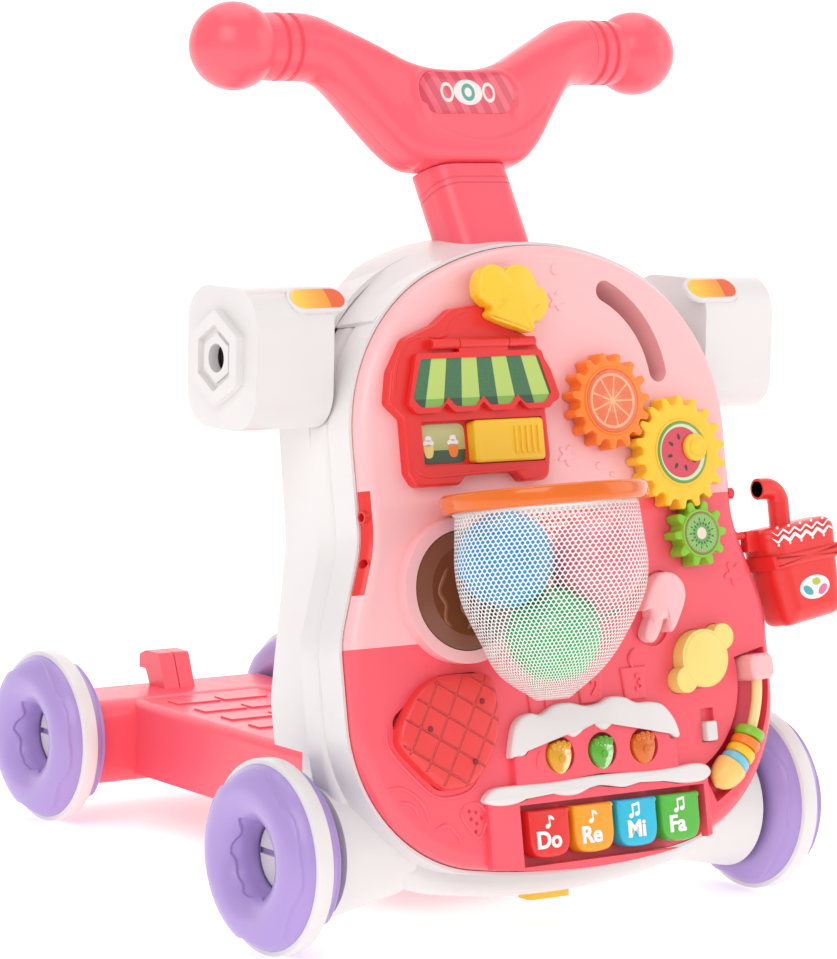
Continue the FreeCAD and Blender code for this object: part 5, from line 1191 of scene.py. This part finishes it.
def build_relief():
    """Shallow stars, dots, cups with numbers, strokes and a berry moulded into the panel; the
    berry's seeds are darkened with painted shade.
    """
    pale = [star(7.0, (12.9, 412), 70), star(7.4, (10.5, 312), 60),
            oval(3.6, 3.6, (14.5, 432), count=24), oval(2.6, 2.6, (36, 304), count=20),
            oval(1.8, 1.8, (46, 298), count=20)]
    emboss("relief_stars", pale, panel, -0.4, 0.9, *cast("pale_pink", "panel"), 0.7)
    coral = cast("panel_pink", "panel")
    flame = loop([(-35, 126), (-38.4, 119), (-37, 114.5), (-33, 114.5), (-31.6, 119)], 6)
    form = Form()
    for outline, base in ((star(8.5, (140, 228), 50), -0.3), (flame, 4.6)):
        form.grid(raised(outline, panel, base, base + 1.2, 0.7), caps="low")
    form.piece("relief_coral", *coral)
    for text, u, w, tall in (("1", -28.0, 155.5, 17.0), ("2", 12.0, 163.0, 21.0),
                             ("3", 48.0, 162.5, 21.0)):
        cup = straight([(u - 10, w + tall / 2), (u + 11, w + tall / 2),
                        (u + 9, w - tall / 2), (u - 8, w - tall / 2)], 8)
        straw = bead_line([[(u + 1, w + tall / 2 - 1), (u - 1, w + tall / 2 + 6),
                            (u + 4, w + tall / 2 + 12)]], panel, 0.4, 1.7, 0.8)
        Form().grid(raised(cup, panel, -0.3, 1.6, 1.2), caps="low").piece(
            "relief_cup_" + text, *coral)
        straw.piece("relief_straw_" + text, *coral)
        put("relief_number_" + text, words(text, 15, panel, (u + 4, w - 0.5), 1.2, 2.6),
            *coral, 30)
    berry_line = [[(-92, 98), (-82, 97), (-76, 88), (-84, 76), (-92, 84), (-96, 92),
                   (-92, 98)]]
    swirl = [[(-150, 113), (-137, 111), (-125, 101), (-120, 88)],
             [(-143, 104), (-133, 101), (-127, 92)],
             [(-118, 84), (-108, 86), (-100, 79), (-98, 72)]]
    seat = [[(-147, 152), (-146, 137), (-131, 118.8), (-116, 105.6), (-104, 103),
             (-89, 105.5), (-79, 114)]]
    bead_line(berry_line + swirl + seat, panel, 0.0, 1.3, 0.8).piece("relief_lines", *coral)
    # painted shade: the seeds take the panel's pink darkened to stand in for shade
    seeds = [oval(0.8, 1.2, spot, count=12) for spot in
             ((-90, 93), (-85, 92), (-81, 88), (-89, 88), (-85, 85), (-86, 80))]
    emboss("relief_seeds", seeds, panel, -0.2, 0.9, *cast("deep_pink", "panel"), 0.3)


build_relief()


# ---------------------------------------------------------------- popsicle, sweet, rings

def build_sweets():
    """Popsicle whose glaze ends in drips above its stick, and a wrapped sweet's face."""
    where = (72, 209.5), -31
    cap = leaned(np.array([(-14.6, 8), (-13, 16), (-8, 22), (0, 24.3), (8, 22), (13, 16),
                           (14.6, 8), (14.6, -6), (12.5, -11.5), (9, -9), (6, -5), (2, -9),
                           (-2, -12.5), (-6, -9.5), (-9, -6), (-13.2, -9), (-14.6, -4)]),
                 *where)
    stick = leaned(np.array([(-4.5, -5), (4.5, -5), (5.5, -18), (3, -23.8), (-3, -23.8),
                             (-5.5, -18)]), *where)
    form = Form().grid(raised(loop(cap), panel, -1.5, 10.0, 2.6, 0.7), caps="low")
    form.grid(raised(loop(stick), panel, -1.5, 7.4, 2.0, 0.5), caps="low")
    bar = form.piece("ice_bar", *cast("pale_pink", "popsicle"))
    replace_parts(bar, "popsicle")
    emboss("candy_boss", [oval(17, 17.6, (102, 174.3))], panel, 8.5, 10.6,
           *cast("candy", "candy"), 0.9, 1.2)


TRACK = (73.5, 160.0)           # middle of the circle that the track follows
TRACK_RADIUS = 75.0


def along_track(angle, radial, tangent, high):
    """Points beside the spot of the ring track at that angle, in degrees."""
    a = math.radians(angle)
    reach = TRACK_RADIUS + radial
    return panel(TRACK[0] + reach * math.cos(a) - tangent * math.sin(a),
                 TRACK[1] + reach * math.sin(a) + tangent * math.cos(a), high)


def build_rings():
    """Rings turned round the track's rod, the round cone below them and the track's floor,
    whose pink is darkened with painted shade.
    The cone's radius is 11 sqrt(1 - 0.94 s^2.4) at a share s of its length."""
    section = oval(3.0, 3.5, power=2.8, count=24)
    q = around(64)[:, None]
    for angle, colour in ((-48.0, "sky"), (-42.2, "yellow"), (-36.4, "orange"), (-30.6, "lime")):
        rho = 7.0 + section[:, 0][None, :]
        ring = Form().grid(along_track(angle, rho * np.cos(q), section[:, 1][None, :] + 0 * rho,
                                       4 + rho * np.sin(q)), round_rows=True)
        ring = ring.piece("bead_" + colour, *cast(colour, "stacking_rings"))
        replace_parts(ring, "stacking_rings")
    q = q.T
    share = np.linspace(0, 1, 14)[:, None]
    reach = 11 * np.sqrt(1 - 0.94 * share ** 2.4)
    rho = np.concatenate(([[3.9]], reach, reach[-1:] * 0.5, reach[-1:] * 0))
    down = np.concatenate(([[0.0]], -17.0 * share, [[-18.2]], [[-18.6]]))
    cone = Form().grid(along_track(-51.3, rho * np.cos(q), down + 0 * q, 4 + rho * np.sin(q)))
    cone = cone.piece("round_cone", *cast("cone", "panel"), 60)
    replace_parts(cone, "bead_cone")
    # painted shade: the track's recessed floor takes the panel's pink darkened to stand in for
    # the shade in the groove
    angle = np.linspace(-65, 11, 60)
    floor = [along_track(a, np.array([-12.4, 12.4, 12.4, -12.4]), 0.0,
                         np.array([-7.6, -7.6, -8.4, -8.4])) for a in angle]
    Form().grid(np.array(floor), caps="low high").piece(
        "track_floor", *cast("deep_pink", "panel"))


build_sweets()
build_rings()


# ---------------------------------------------------------------- hat and drinking cup

def build_puff():
    """Chef's hat: a cloud of three puffs over a straight band."""
    cloud = leaned(np.array([
        (-14, -15), (-15.5, -9), (-20, -8.5), (-27, -5), (-30, 2), (-29, 11), (-23, 17.5),
        (-15, 18.5), (-11, 17), (-8, 21), (-1, 24.4), (7, 23.5), (12.5, 18.5), (15, 15.5),
        (20, 15), (25.4, 9), (26, 1), (22, -6.5), (17.8, -9), (17, -15)]), (-33, 410.5), -18.7)
    hat = emboss("puffed_hat", [loop(cloud)], panel, 8.6, 19.4, *cast("yellow", "chef_hat"),
                 3.6, 1.2)
    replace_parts(hat, "chef_hat")


def build_cup():
    """Printed zigzags under the lid, a belt, an oval sticker with three drops and a dark
    disc of painted shade in the straw's mouth, where its bore is."""
    u = np.linspace(166, 221, 23)
    zigzag = abs((np.arange(23) % 4) - 2.0) - 1.0
    for name, lift, swing, thick in (("thin", 251.2, 1.5, 0.65), ("thick", 246.8, 1.6, 1.15)):
        line = np.stack((u, lift + (u - 166) * 0.117 + swing * zigzag), -1)
        bead_line([line], panel, 12.0, thick, 0.5).piece(
            "cup_zigzag_" + name, plastic["ink"], "drink_cup", "print_film")
    dots = [oval(0.9, 0.9, (166 + 5 * k, base + 0.585 * k), count=12)
            for base in (254.8, 243.2) for k in range(1, 11, 2)]
    emboss("cup_dots", dots, panel, 11.8, 12.5, plastic["ink"], "drink_cup", "print_film", 0.2)
    belt = straight([(166.5, 227.5), (227.3, 234.6), (227.3, 243.6), (164.3, 236.5)], 12)
    emboss("cup_belt", [belt], panel, -25.0, 13.6, *cast("red", "drink_cup"), 2.4)
    sticker = (199.0, 214.5)
    emboss("cup_sticker", [oval(13, 7.8, sticker, 8)], panel, 11.6, 12.6, plastic["ink"],
           "drink_cup", "print_film", 0.3)
    for name, code, spot, size, lean in (("green", "B9BE3C", (1.5, 3.6), (3.6, 2.5), 0),
                                         ("teal", "4FA6AE", (-6.2, -2.0), (4.6, 2.7), -30),
                                         ("pink", "E56C96", (6.5, -1.8), (4.6, 2.6), 40)):
        drop = oval(*size, (sticker[0] + spot[0], sticker[1] + spot[1]), lean, count=28)
        emboss("sticker_drop_" + name, [drop], panel, 12.3, 12.9,
               moulded("sticker_" + name, code), "drink_cup", "print_film", 0.2)
    # painted shade: a flat dark disc in the straw's mouth stands in for the shade inside its bore
    t = around(32)[None, :]
    r = np.array([5.4, 0.0])[:, None]
    disc = panel(171.7, 282.5 + r * np.cos(t), -6 + r * np.sin(t))
    Form().grid(disc, caps="low").piece("straw_bore_shade", *cast("dark_dot", "drink_cup"))


build_puff()
build_cup()


# ---------------------------------------------------------------- floor, lights, camera

def build_floor():
    """Plain floor that sweeps up into a backdrop: flat, then a quarter round, then a wall."""
    finish = Finish("pale_floor", Roughness=0.9)
    for socket, value in (("Base Color", (0.95, 0.95, 0.95, 1)),
                          ("Emission Color", (1, 1, 1, 1)), ("Emission Strength", 0.42)):
        finish.shader.inputs[socket].default_value = value
    bend, reach, radius = np.linspace(0, math.pi / 2, 17), 3.2, 1.5
    along = np.concatenate(([-6.0], reach + radius * np.sin(bend), [reach + radius]))
    high = np.concatenate(([0.0], radius - radius * np.cos(bend), [6.0]))
    across = np.linspace(-7, 7, 9)
    turn = math.radians(-35.3)
    a, c = np.meshgrid(along, across, indexing="ij")
    points = np.stack((c * math.cos(turn) - a * math.sin(turn),
                       c * math.sin(turn) + a * math.cos(turn),
                       np.repeat(high[:, None], len(across), 1)), -1)
    rows, columns = points.shape[:2]
    i, j = np.meshgrid(np.arange(rows - 1), np.arange(columns - 1), indexing="ij")
    corner = i * columns + j
    faces = np.stack((corner, corner + 1, corner + columns + 1, corner + columns), -1)
    mesh = bpy.data.meshes.new("floor")
    mesh.from_pydata(points.reshape(-1, 3).tolist(), [], faces.reshape(-1, 4).tolist())
    mesh.shade_smooth()
    mesh.materials.append(finish.material)
    floor = bpy.data.objects.new("floor", mesh)
    bpy.context.scene.collection.objects.link(floor)


def build_lights():
    """A broad key from the left front, a fill from the right and a soft top light."""
    world = bpy.data.worlds.new("studio")
    bpy.context.scene.world = world
    world.use_nodes = True
    sky = world.node_tree.nodes["Background"].inputs
    sky["Color"].default_value, sky["Strength"].default_value = (1, 1, 1, 1), 0.66
    for name, spot, size, power in (("key", (-2.6, -2.2, 2.6), 2.4, 42),
                                    ("fill", (2.6, -1.8, 1.4), 2.2, 14),
                                    ("top", (0.2, 0.4, 3.2), 2.6, 24)):
        lamp = bpy.data.lights.new(name, "AREA")
        lamp.energy, lamp.size = power, size
        holder = bpy.data.objects.new(name, lamp)
        holder.location = spot
        aim = Vector((0, -0.1, 0.3)) - Vector(spot)
        holder.rotation_euler = aim.to_track_quat("-Z", "Y").to_euler()
        bpy.context.scene.collection.objects.link(holder)


def build_camera():
    """Camera at the left front, aimed by its heading, drop and roll in degrees."""
    eye, heading, drop, roll = Vector((-1.4749, -2.1704, 0.5673)), 35.33, 6.516, 1.181
    heading, drop = math.radians(heading), math.radians(drop)
    ahead = Vector((math.sin(heading) * math.cos(drop), math.cos(heading) * math.cos(drop),
                    -math.sin(drop)))
    lens = bpy.data.cameras.new("camera")
    lens.lens, lens.sensor_width = 143.2, 36
    camera = bpy.data.objects.new("camera", lens)
    turn = (ahead.to_track_quat("-Z", "Y").to_matrix()
            @ Matrix.Rotation(math.radians(roll), 3, "Z"))
    camera.matrix_world = Matrix.Translation(eye) @ turn.to_4x4()
    bpy.context.scene.collection.objects.link(camera)
    bpy.context.scene.camera = camera


build_floor()
build_lights()
build_camera()
bpy.context.scene.view_settings.view_transform = "Standard"
